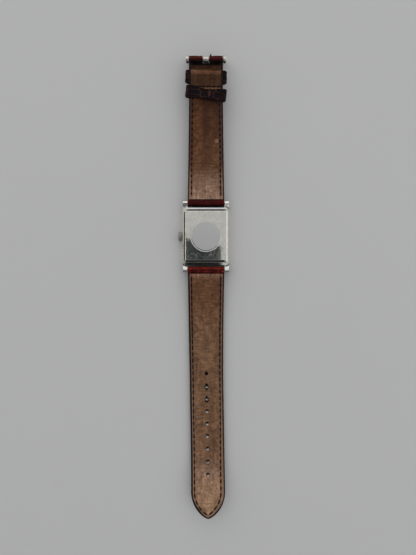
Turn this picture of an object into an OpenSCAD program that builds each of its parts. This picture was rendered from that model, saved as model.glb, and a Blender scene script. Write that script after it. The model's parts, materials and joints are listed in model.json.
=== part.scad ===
// Rectangular wristwatch on a two-piece padded leather strap, lying face down.
// +Z points up to the case back, +Y to the buckle (twelve o'clock), and the crown is at -X.
// The origin is the centre of the crystal's outer face, which is the face it lies on.

/* [Case] */
// Gap between a pair of lugs, the nominal strap width
lug_gap = 18; // [17:0.25:20]
// Width of one lug, measured across the case
lug_w = 2.3; // [1.9:0.1:3]
// Length of the case middle between the two strap ends
case_l = 28.2; // [27.6:0.2:31]
// Corner radius of the case middle
case_r = 2.2; // [1.2:0.1:3]
// Height of the case middle from its front face to the seat of the back
case_h = 4.4; // [4.2:0.1:4.8]
// How far the flanks of the case lean in towards the front
flank_bulge = 0.6; // [0.3:0.05:0.9]
// Width of the case wall beside the movement
case_wall = 2; // [1.7:0.1:2.3]
// Distance from the case's end wall to the spring bar's axis
lug_reach = 1.9; // [1.85:0.05:2.4]
// Radius of the rounded lug tip
lug_tip_r = 1.35; // [1.1:0.05:1.6]

/* [Case back] */
// Thickness of the brim that sits on the case middle
brim_t = 0.8; // [0.5:0.05:1.1]
// Width of the brim beside the raised panel
brim_w = 0.9; // [0.7:0.1:1.3]
// Width of the brim at the two short ends of the panel
brim_end = 1.4; // [1:0.1:2]
// Run of the bevel round the raised panel
bevel_w = 0.7; // [0.4:0.05:1]
// Corner radius of the raised panel
panel_r = 1.3; // [0.8:0.1:2]
// Thickness of the raised panel
back_wall = 0.7; // [0.5:0.05:1]
// Radius of the frosted disc in the panel
disc_r = 6.8; // [4:0.1:7.4]
// Width of the engraved ring round the disc
ring_w = 0.35; // [0.2:0.05:0.5]

/* [Crystal and dial] */
// Width of the crystal
crystal_w = 16.4; // [15:0.1:16.8]
// Length of the crystal
crystal_l = 21.4; // [19:0.1:21.8]
// Thickness of the crystal
crystal_t = 1.2; // [1:0.05:1.5]
// How far the crystal stands proud of the case front
crystal_proud = 0.3; // [0.1:0.05:0.5]
// Room for the hands between crystal and dial
hand_room = 1.15; // [1.1:0.05:1.4]
// Thickness of the dial
dial_t = 0.4; // [0.3:0.05:0.6]
// Length of the minute hand from its axis
minute_hand_l = 7.4; // [5:0.1:7.6]
// Length of the hour hand from its axis
hour_hand_l = 5; // [3:0.1:6]

/* [Movement] */
// Width of the movement
move_w = 15.2; // [15:0.1:16.4]
// Length of the movement
move_l = 17.8; // [17.6:0.1:20]
// Thickness of the main plate
plate_t = 1.2; // [1.15:0.05:1.3]
// Height between main plate and train bridge
train_h = 0.9; // [0.9:0.05:1]
// Thickness of the train bridge
bridge_t = 0.3; // [0.2:0.05:0.35]
// Diameter of the button cell
cell_d = 6.8; // [6:0.1:6.8]
// Height of the button cell
cell_h = 2.15; // [1.65:0.05:2.2]

/* [Crown] */
// Diameter of the crown
crown_d = 4.6; // [4:0.1:5]
// Length of the crown
crown_l = 2; // [1.8:0.1:2.6]
// Number of flutes round the crown
crown_flutes = 28; // [20:1:36]
// Travel of the crown when it is pulled to set the hands
crown_pull = 1; // [0.6:0.1:1]

/* [Strap] */
// Length of the buckle piece from bar to bar
short_l = 67; // [64:0.5:80]
// Length of the pointed piece from bar to tip
long_l = 119; // [112:0.5:130]
// Side gap between strap and lugs
strap_side_gap = 0.35; // [0.2:0.05:0.5]
// Width of the strap at its narrow end
strap_end_w = 16; // [15:0.1:16]
// Thickness of the lining leather
lining_t = 0.8; // [0.6:0.05:1]
// Thickness of the face leather
face_t = 1.1; // [0.9:0.05:1.2]
// Height of the padding near the lugs
pad_lug = 1.8; // [1.4:0.1:1.9]
// Height of the padding along the thin stretch
pad_end = 0.4; // [0.3:0.05:0.5]
// Length of the pointed tip
tip_l = 14.5; // [12:0.5:18]
// Sideways lean of the pointed piece at its tip
long_lean = 1.2; // [0:0.1:1.5]
// Number of adjustment holes
hole_count = 9; // [5:1:9]
// Spacing of the adjustment holes
hole_pitch = 6.1; // [5.5:0.1:6.2]
// Distance from the lug bar to the first hole
first_hole = 51; // [46:0.5:52]
// Radius of an adjustment hole
hole_r = 0.85; // [0.7:0.05:1]

/* [Keepers] */
// Width of each keeper along the strap
keeper_w = 6; // [5:0.1:6.2]
// Thickness of the keeper leather
keeper_t = 1; // [0.8:0.05:1.2]
// Room under the strap for the pointed end
keeper_room = 2.7; // [2.5:0.1:3.2]
// Side gap between strap and keeper
keeper_gap = 1; // [0.9:0.05:1.1]
// Skew of the loose keeper on the strap, in degrees
keeper_skew = 5.5; // [0:0.5:6]
// Travel of the loose keeper towards the case
keeper_travel = 10; // [6:1:12]

/* [Buckle] */
// Width of one buckle arm
arm_w = 1.25; // [1.1:0.05:1.6]
// Distance from the bar's axis to the buckle's outer edge
buckle_reach = 9.4; // [8.8:0.1:9.4]
// Depth of the front rail
rail_w = 1.9; // [1.5:0.1:2.2]
// Width of the tongue
tongue_w = 2.6; // [2:0.1:2.8]
// Angle of the hanging buckle below the horizontal, in degrees
buckle_hang = 61; // [50:1:61]

/* [Spring bars] */
// Radius of a spring bar's barrel
bar_r = 0.75; // [0.7:0.01:0.8]
// Radius of a spring bar's tip
pin_r = 0.4; // [0.35:0.01:0.42]
// Length of a tip inside its hole
pin_reach = 0.95; // [0.8:0.05:1]
// Travel of a tip when the bar is squeezed
pin_travel = 1; // [0.8:0.05:1.05]

/* [Hidden] */
$fn = 48;
eps = 0.01; // overlap that makes unions and cuts clean
steel = [0.80, 0.80, 0.80];
brass = [0.80, 0.66, 0.36];
face_leather = [0.28, 0.07, 0.05];
lining_leather = [0.45, 0.32, 0.22];

// Outline of the case
case_w = lug_gap + 2 * lug_w;
cavity_w = case_w - 2 * case_wall;
cavity_l = case_l - 2 * (case_wall + 0.2);
cavity_r = 1.2;
case_front = crystal_proud;
case_top = case_front + case_h;
bar_y = case_l / 2 + lug_reach;
bar_z = case_top - 0.5;
fit_gap = 0.05; // clearance of a part that drops into its seat
run_gap = 0.05; // clearance round a turning bar

// Levels of the stack, from the crystal to the back
dial_z = crystal_t + hand_room;
plate_z = dial_z + dial_t;
train_z = plate_z + plate_t;
bridge_z = train_z + train_h;
cell_z = plate_z + 0.6;
back_room = 0.4;
back_in_z = max(cell_z + cell_h, bridge_z + bridge_t + 0.2) + back_room;
back_z = back_in_z + back_wall;
panel_w = case_w - 0.2 - 2 * brim_w;
panel_l = case_l - 0.2 - 2 * brim_end;
rim_t = 0.5; // wall of the back's snap rim
rim_h = 0.8; // depth of the snap rim in the case
gasket_w = 0.4;
gasket_h = 0.35;
seal_w = 0.25; // width of the seal round the crystal
ledge_w = 0.3; // width of the ledge under the crystal

// Wheels of the movement, with the modules in millimetres
works_m = 0.11; // module of the wheels under the dial
train_m = 0.085; // module of centre wheel and reduction pinion
rotor_m = 0.07; // module of reduction wheel and rotor pinion
mesh_gap = 0.02; // extra distance between meshing axes
wheel_t = 0.15;
cannon_teeth = 10;
minute_teeth = 30;
minute_pinion_teeth = 8;
hour_teeth = 32;
setting_teeth = 14;
centre_teeth = 54;
reduction_pinion_teeth = 6;
reduction_teeth = 60;
rotor_teeth = 6;
minute_a = 225; // direction from the centre to the minute wheel
minute_d = works_m * (cannon_teeth + minute_teeth) / 2 + mesh_gap;
minute_at = minute_d * [cos(minute_a), sin(minute_a)];
minute_turn = mesh_turn(minute_a, 0, cannon_teeth, minute_teeth);
setting_a = 173; // direction from the minute wheel to the setting wheel
setting_d = works_m * (minute_teeth + setting_teeth) / 2 + mesh_gap;
setting_at = minute_at + setting_d * [cos(setting_a), sin(setting_a)];
reduction_a = 45; // direction from the centre to the reduction wheel
reduction_d = train_m * (centre_teeth + reduction_pinion_teeth) / 2 + mesh_gap;
reduction_at = reduction_d * [cos(reduction_a), sin(reduction_a)];
rotor_d = rotor_m * (reduction_teeth + rotor_teeth) / 2 + mesh_gap;
rotor_at = reduction_at + [0, rotor_d];
cell_at = [3.75, -4.75];
bridge_screws = [[-1.9, 2.9], [4.7, -0.3], [5, 3]];
clamp_screw = [-1.6, -6.4];
pivot_r = 0.12;
hour_z = plate_z + 0.07; // dial side of the hour wheel
works_z = plate_z + 0.35; // dial side of the minute and setting wheels
works_top = plate_z + 0.6; // floor of the recess in the plate
centre_z = train_z + 0.1;
reduction_z = train_z + 0.5;
hour_hand_z = crystal_t + 0.65;
minute_hand_z = crystal_t + 0.3;
hand_t = 0.12;
coil_y = move_l / 2 - 1.7;
can_y = 2.35 - move_l / 2;
coil_r = 0.8;
core_z = train_z + 0.17;
core_t = 0.2;

// Crown, stem and setting lever
stem_z = plate_z + 0.65;
stem_r = 0.45;
crown_gap = 0.15; // gap between crown and case
crown_in_x = case_w / 2 + crown_gap;
crown_out_x = crown_in_x + crown_l;
crown_skin = 0.4; // end wall of the crown
tube_r = 1;
tube_out = crown_l - crown_skin - 0.1; // length of the tube beyond the case
recess_r = 1.35;
clutch_x = 5.1; // inner end of the clutch
clutch_l = 1.2;
clutch_r = 0.6;
stem_square = 0.56;
square_end_x = clutch_x + 0.1 - crown_pull; // inner end of the stem's square at rest
groove_x = 6.8; // centre of the stem's groove
groove_w = 0.5;
lever_at = [-6.6, 3.2];
lever_pin_r = 0.15;
lever_t = 0.2;

// Strap: s runs along the piece from the lug bar, t up from its lining side
loop_t = 0.85; // leather round a bar
loop_r = bar_r + run_gap + loop_t;
strap_w = lug_gap - 2 * strap_side_gap;
loop_end = loop_r + 0.1; // where lining and padding may start, from the bar's axis
fixed_at = short_l - 7.8; // distance along the strap of the fixed keeper
loose_at = short_l - 15.3; // distance along the strap of the loose keeper
straight_at = loose_at - keeper_travel - keeper_w / 2 - 0.7; // start of the stretch the keeper slides on
// Each stretch of a path is its length, its first angle and its last angle
short_path = [[straight_at, -1, 5.5], [short_l - 4 - straight_at, 5.5, 5.5], [20, 5.5, 38]];
long_path = [[35, -11.5, 0], [47, 0, 0], [60, 0, 33]];
short_taper = 50; // length over which the buckle piece narrows
long_taper = 50; // length over which the pointed piece narrows
long_from = loop_end - loop_r * sin(long_path[0][1]); // start of its lining and padding
short_from = loop_end - loop_r * sin(short_path[0][1]);
pad_edge = 0.82; // share of the half width that the padding fills
pad_rise = 6; // length over which the padding reaches its full height
pad_run = 30; // distance from the lug bar at which the padding is thin
end_t = lining_t + pad_end + face_t;
buckle_drop = 1.3; // depth of the buckle bar's axis below the lining side
slot_half = 1.85; // half width of the slot for the tongue
tip_r = 3; // radius of the rounded point
pocket_gap = 0.03;

// Buckle
buckle_half = strap_end_w / 2 + 0.2; // half the clear width between the arms
knuckle_r = 1.6;
rail_t = 2;
rail_n = -0.3; // centre of the rail, negative towards the face side
tongue_t = 0.75;
tongue_ring_r = 1.45;
hole_depth = 1.1; // depth of a blind hole for a spring bar's tip

// Rounded rectangle centred on the origin, from squares and circles
module rounded(w, l, r) {
    square([w - 2 * r, l], center = true);
    square([w, l - 2 * r], center = true);
    for (x = [-1, 1], y = [-1, 1])
        translate([x * (w / 2 - r), y * (l / 2 - r)]) circle(r);
}

// Plate with a rounded outline, standing on height z
module slab(w, l, r, z, h) {
    translate([0, 0, z]) linear_extrude(h) rounded(w, l, r);
}

// Cylinder along X from x0 to x1
module rod_x(r, x0, x1) {
    translate([x0, 0, 0]) rotate([0, 90, 0]) cylinder(r = r, h = x1 - x0);
}

// Cylinder standing at a place in the plan
module post(at, r, z0, z1) {
    translate([at[0], at[1], z0]) cylinder(r = r, h = z1 - z0, $fn = 32);
}

// Profile drawn in y and z, extruded along X to both sides
module side_cut(half) {
    rotate([90, 0, 90]) linear_extrude(2 * half, center = true) children();
}

// Profile drawn in x and z, extruded along Y to both sides
module front_cut(half) {
    rotate([90, 0, 0]) linear_extrude(2 * half, center = true) children();
}

// Teeth of a wheel as a flat outline, with a little backlash
function wheel_points(teeth, m, turn) = [for (i = [0:teeth - 1]) each [
    for (k = [[-0.3, -1.2], [-0.13, 0.9], [0.13, 0.9], [0.3, -1.2]])
        (teeth * m / 2 + k[1] * m) * [cos(turn + (i + k[0]) * 360 / teeth),
            sin(turn + (i + k[0]) * 360 / teeth)]]];

// Turn of a wheel in direction a from a meshing wheel, so that teeth meet gaps
function mesh_turn(a, other_turn, other_teeth, teeth) =
    a + 180 - (0.5 - (a - other_turn) * other_teeth / 360) * 360 / teeth;

module wheel(teeth, m, turn, z, h) {
    translate([0, 0, z]) linear_extrude(h) polygon(wheel_points(teeth, m, turn));
}

// Spokes: a ring of round windows in a wheel
module windows(count, at_r, r, z, h) {
    for (i = [0:count - 1])
        rotate(i * 360 / count) translate([at_r, 0, z - eps]) cylinder(r = r, h = h + 2 * eps);
}

// Case middle with its four lugs
module case_outline() {
    rounded(case_w, case_l, case_r);
    for (x = [-1, 1])
        translate([x * (lug_gap + lug_w) / 2, 0])
            square([lug_w, 2 * (bar_y + lug_tip_r)], center = true);
}

module flank_profile() {
    mid = case_front + 0.7 * case_h;
    half = 0.7 * case_h;
    r = (half * half + flank_bulge * flank_bulge) / (2 * flank_bulge);
    intersection() {
        translate([-case_w / 2, case_front]) square([case_w, case_h + 2]);
        union() {
            for (x = [-1, 1]) translate([x * (case_w / 2 - r), mid]) circle(r, $fn = 96);
            translate([-case_w / 2 + r, case_front - 1]) square([case_w - 2 * r, case_h + 3]);
        }
    }
}

// Side view of one half, from the middle of the case out to the lug tip
module lug_profile() {
    tip = [bar_y, bar_z];
    polygon([
        [0, case_front], [case_l / 2 - 2.6, case_front],
        for (a = [-78:8:-22]) tip + lug_tip_r * [cos(a), sin(a)],
        for (a = [-14:12:94]) tip + lug_tip_r * [cos(a), sin(a)],
        [case_l / 2, case_top], [0, case_top]]);
}

module case_middle() color(steel) difference() {
    intersection() {
        linear_extrude(case_top + 2) case_outline();
        front_cut(case_l) flank_profile();
        union() {
            side_cut(case_w) lug_profile();
            mirror([0, 1, 0]) side_cut(case_w) lug_profile();
        }
    }
    slab(crystal_w + 2 * seal_w, crystal_l + 2 * seal_w, 1, 0, crystal_t);
    slab(crystal_w - 2 * ledge_w, crystal_l - 2 * ledge_w, 0.8, 0, case_top);
    slab(cavity_w, cavity_l, cavity_r, dial_z, case_h);
    slab(cavity_w + 2 * gasket_w, cavity_l + 2 * gasket_w, cavity_r + gasket_w,
        case_top - gasket_h, case_h);
    translate([0, 0, stem_z]) rod_x(tube_r, -case_w, 0);
    for (y = [-1, 1], x = [0, 1])
        mirror([x, 0, 0]) translate([0, y * bar_y, bar_z])
            rod_x(pin_r + fit_gap, lug_gap / 2 - eps, lug_gap / 2 + hole_depth);
}

// Snap-on back: brim, raised bevelled panel and snap rim
module panel_side(w) {
    polygon([[-w / 2, case_top], [w / 2, case_top], [w / 2, case_top + brim_t],
        [w / 2 - bevel_w, back_z], [-w / 2 + bevel_w, back_z], [-w / 2, case_top + brim_t]]);
}

module case_back() color(steel) difference() {
    union() {
        slab(case_w - 0.2, case_l - 0.2, case_r, case_top, brim_t);
        intersection() {
            slab(panel_w, panel_l, panel_r, case_top, back_z);
            front_cut(case_l) panel_side(panel_w);
            side_cut(case_w) panel_side(panel_l);
        }
        slab(cavity_w - 2 * fit_gap, cavity_l - 2 * fit_gap, cavity_r, case_top - rim_h, rim_h + eps);
    }
    slab(cavity_w - 2 * fit_gap - 2 * rim_t, cavity_l - 2 * fit_gap - 2 * rim_t,
        cavity_r - rim_t, case_top - rim_h - eps, back_in_z - case_top + rim_h + eps);
    translate([0, 0, back_z - 0.05]) cylinder(r = disc_r, h = 1, $fn = 96);
    translate([0, 0, back_z - 0.08]) difference() {
        cylinder(r = disc_r + 2 * ring_w, h = 1, $fn = 96);
        translate([0, 0, -eps]) cylinder(r = disc_r + ring_w, h = 2, $fn = 96);
    }
}

module back_gasket() color("black") difference() {
    slab(cavity_w + 2 * gasket_w, cavity_l + 2 * gasket_w, cavity_r + gasket_w,
        case_top - gasket_h, gasket_h);
    slab(cavity_w, cavity_l, cavity_r, 0, case_top + 1);
}

module crystal() color([0.85, 0.92, 0.95, 0.4]) {
    bevel = 0.25;
    intersection() {
        slab(crystal_w, crystal_l, 0.8, 0, crystal_t);
        front_cut(crystal_l) polygon([[-crystal_w / 2, crystal_t], [crystal_w / 2, crystal_t],
            [crystal_w / 2, bevel], [crystal_w / 2 - bevel, 0], [bevel - crystal_w / 2, 0],
            [-crystal_w / 2, bevel]]);
        side_cut(crystal_w) polygon([[-crystal_l / 2, crystal_t], [crystal_l / 2, crystal_t],
            [crystal_l / 2, bevel], [crystal_l / 2 - bevel, 0], [bevel - crystal_l / 2, 0],
            [-crystal_l / 2, bevel]]);
    }
}

module crystal_gasket() color("white") difference() {
    slab(crystal_w + 2 * seal_w, crystal_l + 2 * seal_w, 1, case_front + 0.05,
        crystal_t - case_front - 0.05);
    slab(crystal_w, crystal_l, 0.8, 0, 2 * crystal_t);
}

module dial() color("ivory") difference() {
    slab(cavity_w - 2 * fit_gap, cavity_l - 2 * fit_gap, cavity_r, dial_z, dial_t);
    post([0, 0], 0.8, dial_z - eps, plate_z + eps);
}

// Applied batons, laid out round a rectangle at the twelve hours
module hour_markers() color(steel) {
    half_x = crystal_w / 2 - 1.6;
    half_y = crystal_l / 2 - 1.6;
    for (i = [0:11]) {
        a = 90 - i * 30;
        k = min(half_x / max(abs(cos(a)), eps), half_y / max(abs(sin(a)), eps));
        translate([k * cos(a), k * sin(a), dial_z - 0.2]) rotate(a)
            translate([-0.8, -0.25, 0]) cube([1.6, 0.5, 0.2]);
    }
}

module movement_ring() color("dimgray") difference() {
    slab(cavity_w - 2 * fit_gap, cavity_l - 2 * fit_gap, cavity_r, plate_z,
        case_top - rim_h - fit_gap - plate_z);
    slab(move_w + 2 * fit_gap, move_l + 2 * fit_gap, 1, 0, 2 * case_top);
    translate([-case_w, -0.7, plate_z - eps]) cube([case_w, 1.4, case_h]);
}

// Main plate, with the recesses for the works under the dial and for the cell, coil and stem
module main_plate() color(brass) difference() {
    union() {
        slab(move_w, move_l, 1, plate_z, plate_t);
        for (at = bridge_screws) post(at, 0.6, train_z - eps, bridge_z);
        post(clamp_screw, 0.6, train_z - eps, cell_z + cell_h);
    }
    difference() {
        union() {
            post([0, 0], works_m * hour_teeth / 2 + 0.25, plate_z - eps, works_top);
            post(minute_at, works_m * minute_teeth / 2 + 0.25, plate_z - eps, works_top);
            post(setting_at, works_m * setting_teeth / 2 + 0.2, plate_z - eps, works_top);
        }
        post(minute_at, 0.15, plate_z, works_top);
        post(setting_at, 0.15, plate_z, works_top);
    }
    post([0, 0], 0.25, plate_z, train_z + eps);
    post(cell_at, cell_d / 2 + 0.1, cell_z, train_z + eps);
    post(reduction_at, pivot_r + 0.03, train_z - 0.2, train_z + eps);
    post(rotor_at, 0.75, train_z - 0.3, train_z + eps);
    post(rotor_at, pivot_r + 0.03, train_z - 0.5, train_z);
    for (at = concat(bridge_screws, [clamp_screw])) post(at, 0.3, train_z - 0.5, 2 * train_z);
    post(lever_at, 0.25, train_z - 0.5, train_z + eps);
    translate([-1.1, coil_y - coil_r - 0.1, core_z + core_t / 2 - coil_r - 0.1])
        cube([6.4, 2 * coil_r + 0.2, 2]);
    translate([0.5 - move_w / 2, can_y - 0.85, train_z - 0.55]) cube([4.8, 1.7, 2]);
    translate([0, 0, stem_z]) rod_x(0.5, -case_w, -clutch_x);
    translate([0, 0, stem_z]) rod_x(0.43, -clutch_x - eps, -square_end_x + 0.05);
    translate([0, 0, stem_z]) rod_x(0.28, -square_end_x, -square_end_x + 1);
    translate([-clutch_x - clutch_l - 0.2, -0.75, plate_z - eps])
        cube([clutch_l + 0.4, 1.5, plate_t + 2 * eps]);
    translate([-move_w, -0.25, stem_z]) cube([move_w - groove_x + 0.4, 0.75, plate_t]);
}

module train_bridge() color(steel) difference() {
    translate([0, 0, bridge_z]) linear_extrude(bridge_t) difference() {
        hull_free_bridge();
        translate(cell_at) circle(cell_d / 2 + 0.25);
    }
    for (at = bridge_screws) post(at, 0.3, bridge_z - eps, back_z);
    post([0, 0], 0.23, bridge_z - eps, back_z);
    for (at = [reduction_at, rotor_at]) post(at, pivot_r + 0.03, bridge_z - eps, back_z);
}

// Outline of the train bridge
module hull_free_bridge() {
    translate([1.5, 2]) rounded(8.4, 6.4, 1.2);
}

module screw(at, z) {
    difference() {
        union() {
            post(at, 0.6, z, z + 0.2);
            post(at, 0.27, train_z - 0.45, z + eps);
        }
        translate([at[0], at[1], z + 0.2]) rotate(30) cube([2, 0.15, 0.2], center = true);
    }
}

module movement_screws() color(steel) {
    for (at = bridge_screws) screw(at, bridge_z + bridge_t);
    screw(clamp_screw, cell_z + cell_h + 0.1);
    post(lever_at, 0.24, train_z - 0.5, train_z + 0.3);
    post(lever_at, 0.45, train_z + 0.3, train_z + 0.45);
}

module button_cell() color(steel) {
    post(cell_at, cell_d / 2, cell_z + 0.3, cell_z + cell_h);
    post(cell_at, cell_d / 2 - 0.6, cell_z, cell_z + 0.3 + eps);
}

module cell_clamp() color("gold") difference() {
    hull() {
        post(clamp_screw, 0.8, cell_z + cell_h, cell_z + cell_h + 0.1);
        post([cell_at[0] - 0.6, cell_at[1] - 0.4], 0.7, cell_z + cell_h, cell_z + cell_h + 0.1);
    }
    post(clamp_screw, 0.3, cell_z, back_z);
}

module circuit_board() color("darkgreen") {
    translate([0.4 - move_w / 2, move_l / 2 - 4.5, train_z]) {
        cube([4.2, 4.1, 0.2]);
        translate([1.3, 1.2, 0.2 - eps]) cube([1.6, 1.6, 0.45]);
    }
}

module quartz_can() color(steel) translate([0, can_y, train_z + 0.2])
    rod_x(0.7, 0.7 - move_w / 2, 5.1 - move_w / 2);

module stator() color("slategray") translate([0, 0, train_z + 0.02]) linear_extrude(0.15)
    difference() {
        union() {
            translate([rotor_at[0] - 2.1, rotor_at[1] - 0.95]) square([4.2, 2.1]);
            translate([-2.2, 4.6]) square([8.6, 0.7]);
            for (x = [-2.2, 5.5]) translate([x, 4.6]) square([0.9, coil_y - 3.9]);
        }
        translate(rotor_at) circle(0.85);
    }

module coil_core() color("slategray") translate([-2.2, coil_y - 0.3, core_z])
    cube([8.6, 0.6, core_t]);

module coil() color([0.72, 0.36, 0.16]) translate([0, coil_y, core_z + core_t / 2]) difference() {
    union() {
        rod_x(coil_r - 0.1, -0.9, 5.1);
        rod_x(coil_r, -0.9, -0.7);
        rod_x(coil_r, 4.9, 5.1);
    }
    cube([20, 0.62, core_t + 0.02], center = true);
}

// Hands: tapered blades with a boss
module hand(l, w, z, bore, boss) {
    difference() {
        union() {
            post([0, 0], boss, z, z + hand_t);
            translate([0, 0, z]) linear_extrude(hand_t)
                polygon([[-w / 4, -l / 5], [w / 4, -l / 5], [w / 2, l * 0.7], [0, l],
                    [-w / 2, l * 0.7]]);
        }
        post([0, 0], bore, z - eps, z + hand_t + eps);
    }
}

module minute_hand() color("midnightblue") rotate(-60)
    hand(minute_hand_l, 0.7, minute_hand_z, 0.25, 0.6);

module hour_hand() color("midnightblue") rotate(55)
    hand(hour_hand_l, 0.9, hour_hand_z, 0.6, 0.9);

module cannon_pinion() color(brass) {
    post([0, 0], 0.25, minute_hand_z - 0.05, minute_hand_z + hand_t + eps);
    post([0, 0], 0.33, minute_hand_z + hand_t, works_top);
    wheel(cannon_teeth, works_m, 0, works_top - 0.3, 0.25);
}

module centre_wheel() color(brass) {
    difference() {
        wheel(centre_teeth, train_m, 0, centre_z, wheel_t);
        windows(4, 1.25, 0.62, centre_z, wheel_t);
    }
    post([0, 0], 0.2, works_top, bridge_z + bridge_t);
    post([0, 0], 0.4, train_z + 0.02, bridge_z - 0.05);
}

module hour_wheel() color(brass) difference() {
    union() {
        wheel(hour_teeth, works_m, 0, hour_z, wheel_t);
        post([0, 0], 0.6, hour_hand_z, hour_z + wheel_t);
    }
    post([0, 0], 0.38, hour_hand_z - eps, hour_z + 2 * wheel_t);
}

module minute_wheel() color(brass) translate(minute_at) difference() {
    union() {
        wheel(minute_teeth, works_m, minute_turn, works_z, wheel_t);
        wheel(minute_pinion_teeth, works_m,
            mesh_turn(minute_a, 0, hour_teeth, minute_pinion_teeth), hour_z, works_z - hour_z + eps);
    }
    post([0, 0], 0.2, plate_z, works_top);
}

module setting_wheel() color(brass) translate(setting_at) difference() {
    wheel(setting_teeth, works_m,
        mesh_turn(setting_a, minute_turn, minute_teeth, setting_teeth), works_z, wheel_t);
    post([0, 0], 0.2, plate_z, works_top);
}

module reduction_wheel() color(brass) translate(reduction_at) {
    difference() {
        wheel(reduction_teeth, rotor_m, 0, reduction_z, wheel_t);
        windows(4, 1.15, 0.55, reduction_z, wheel_t);
    }
    wheel(reduction_pinion_teeth, train_m,
        mesh_turn(reduction_a, 0, centre_teeth, reduction_pinion_teeth), train_z + 0.05, 0.47);
    post([0, 0], pivot_r, train_z - 0.18, bridge_z + bridge_t - 0.05);
}

module rotor() color("dimgray") translate(rotor_at) {
    post([0, 0], 0.65, train_z - 0.2, train_z + 0.35);
    wheel(rotor_teeth, rotor_m, mesh_turn(90, 0, reduction_teeth, rotor_teeth),
        train_z + 0.3, bridge_z - train_z - 0.35);
    post([0, 0], pivot_r, train_z - 0.45, bridge_z + bridge_t - 0.05);
}

// Clutch with face teeth, sliding on the square of the stem
module clutch() color(steel) translate([0, 0, stem_z]) difference() {
    rod_x(clutch_r, -clutch_x - clutch_l, -clutch_x);
    cube([4 * case_w, stem_square + 0.04, stem_square + 0.04], center = true);
    for (i = [0:3]) rotate([i * 45, 0, 0])
        translate([-clutch_x, 0, 0]) cube([0.4, 0.16, 2], center = true);
}

module stem() color(steel) translate([0, 0, stem_z]) {
    difference() {
        rod_x(stem_r, -crown_out_x + crown_skin, -clutch_x - clutch_l - 0.1);
        difference() {
            rod_x(1, -groove_x - groove_w / 2, -groove_x + groove_w / 2);
            rod_x(0.28, -case_w, 0);
        }
    }
    translate([-clutch_x - clutch_l - 0.1 - eps, -stem_square / 2, -stem_square / 2])
        cube([clutch_l + crown_pull, stem_square, stem_square]);
    rod_x(0.22, -square_end_x - 0.1, -square_end_x + 0.7);
}

// Fluted crown, hollow round the case tube, with a domed end
module crown() color(steel) translate([0, 0, stem_z]) difference() {
    intersection() {
        translate([-crown_out_x, 0, 0]) rotate([0, 90, 0]) linear_extrude(crown_l)
            polygon([for (i = [0:crown_flutes - 1]) each [
                for (k = [[-0.25, 0], [0.25, 0], [0.4, -0.15], [0.6, -0.15]])
                    (crown_d / 2 + k[1]) * [cos((i + k[0]) * 360 / crown_flutes),
                        sin((i + k[0]) * 360 / crown_flutes)]]]);
        rotate([0, 90, 0]) rotate_extrude($fn = 64)
            polygon([[0, -crown_out_x], [0.5, -crown_out_x], [crown_d / 4, -crown_out_x + 0.04],
                [crown_d / 2 - 0.45, -crown_out_x + 0.15], [crown_d / 2 - 0.2, -crown_out_x + 0.35],
                [crown_d / 2 + 0.05, -crown_out_x + 0.75], [crown_d / 2 + 0.05, -crown_in_x - 0.3],
                [crown_d / 2 - 0.3, -crown_in_x], [0, -crown_in_x]]);
    }
    rod_x(recess_r, -crown_out_x + crown_skin, 0);
}

module crown_gasket() color("black") translate([0, 0, stem_z]) difference() {
    rod_x(recess_r, -crown_in_x - 0.45, -crown_in_x - 0.05);
    rod_x(tube_r + 0.02, -case_w, 0);
}

module crown_tube() color(steel) translate([0, 0, stem_z]) difference() {
    rod_x(tube_r, -case_w / 2 - tube_out, -cavity_w / 2 - 0.1);
    rod_x(stem_r + 0.1, -case_w, 0);
}

// Lever whose pin rides in the groove of the stem
module setting_lever() color(steel) {
    z = train_z + 0.05;
    pin_at = [-groove_x, 0];
    difference() {
        union() {
            hull() {
                post(lever_at, 0.5, z, z + lever_t);
                post(pin_at, 0.3, z, z + lever_t);
            }
            post(pin_at, lever_pin_r, stem_z + 0.33, z + eps);
        }
        post(lever_at, 0.28, z - eps, z + 1);
    }
}

// Spring bar along X, centred on the origin: barrel, spring and one tip
module bar_barrel(half) {
    difference() {
        rod_x(bar_r, -half, half);
        rod_x(pin_r + 0.1, -half + 0.3, half - 0.3);
        rod_x(pin_r + 0.03, -half - 1, half + 1);
    }
}

module bar_tip(half, reach) {
    rod_x(pin_r, half - 0.6, half + reach);
    rod_x(pin_r + 0.07, half - 1 - pin_travel, half - 0.33);
}

// Helical wire between the two tips
module bar_spring(half) {
    turns = 12;
    steps = 8;
    sides = 4;
    wire = 0.07;
    coil = pin_r - 0.03;
    length = 2 * (half - 1 - pin_travel) - 2 * wire;
    rings = [for (i = [0:turns * steps]) [for (j = [0:sides - 1])
        let (a = i * 360 / steps, b = j * 360 / sides, r = coil + wire * cos(b))
            [length * (i / (turns * steps) - 0.5) + wire * sin(b), r * cos(a), r * sin(a)]]];
    tube(rings);
}

// Closed skin over rings that all have the same even number of points. Its squares are split
// along one diagonal or the other, so that two skins that touch can have the same triangles.
module tube(rings, other = false) {
    n = len(rings[0]);
    m = len(rings);
    polyhedron(
        points = [for (ring = rings) each ring],
        faces = concat(
            [for (i = [0:m - 2], j = [0:n - 1]) let (a = i * n + j, b = i * n + (j + 1) % n)
                each other ? [[a, b, b + n], [a, b + n, a + n]] : [[a, b, a + n], [b, b + n, a + n]]],
            [for (j = [0:n / 2 - 2], end = [0, m - 1]) let (k = end * n,
                quad = [k + j, k + n - 1 - j, k + n - 2 - j, k + j + 1])
                end == 0 ? quad : [for (i = [3:-1:0]) quad[i]]]));
}

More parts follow.
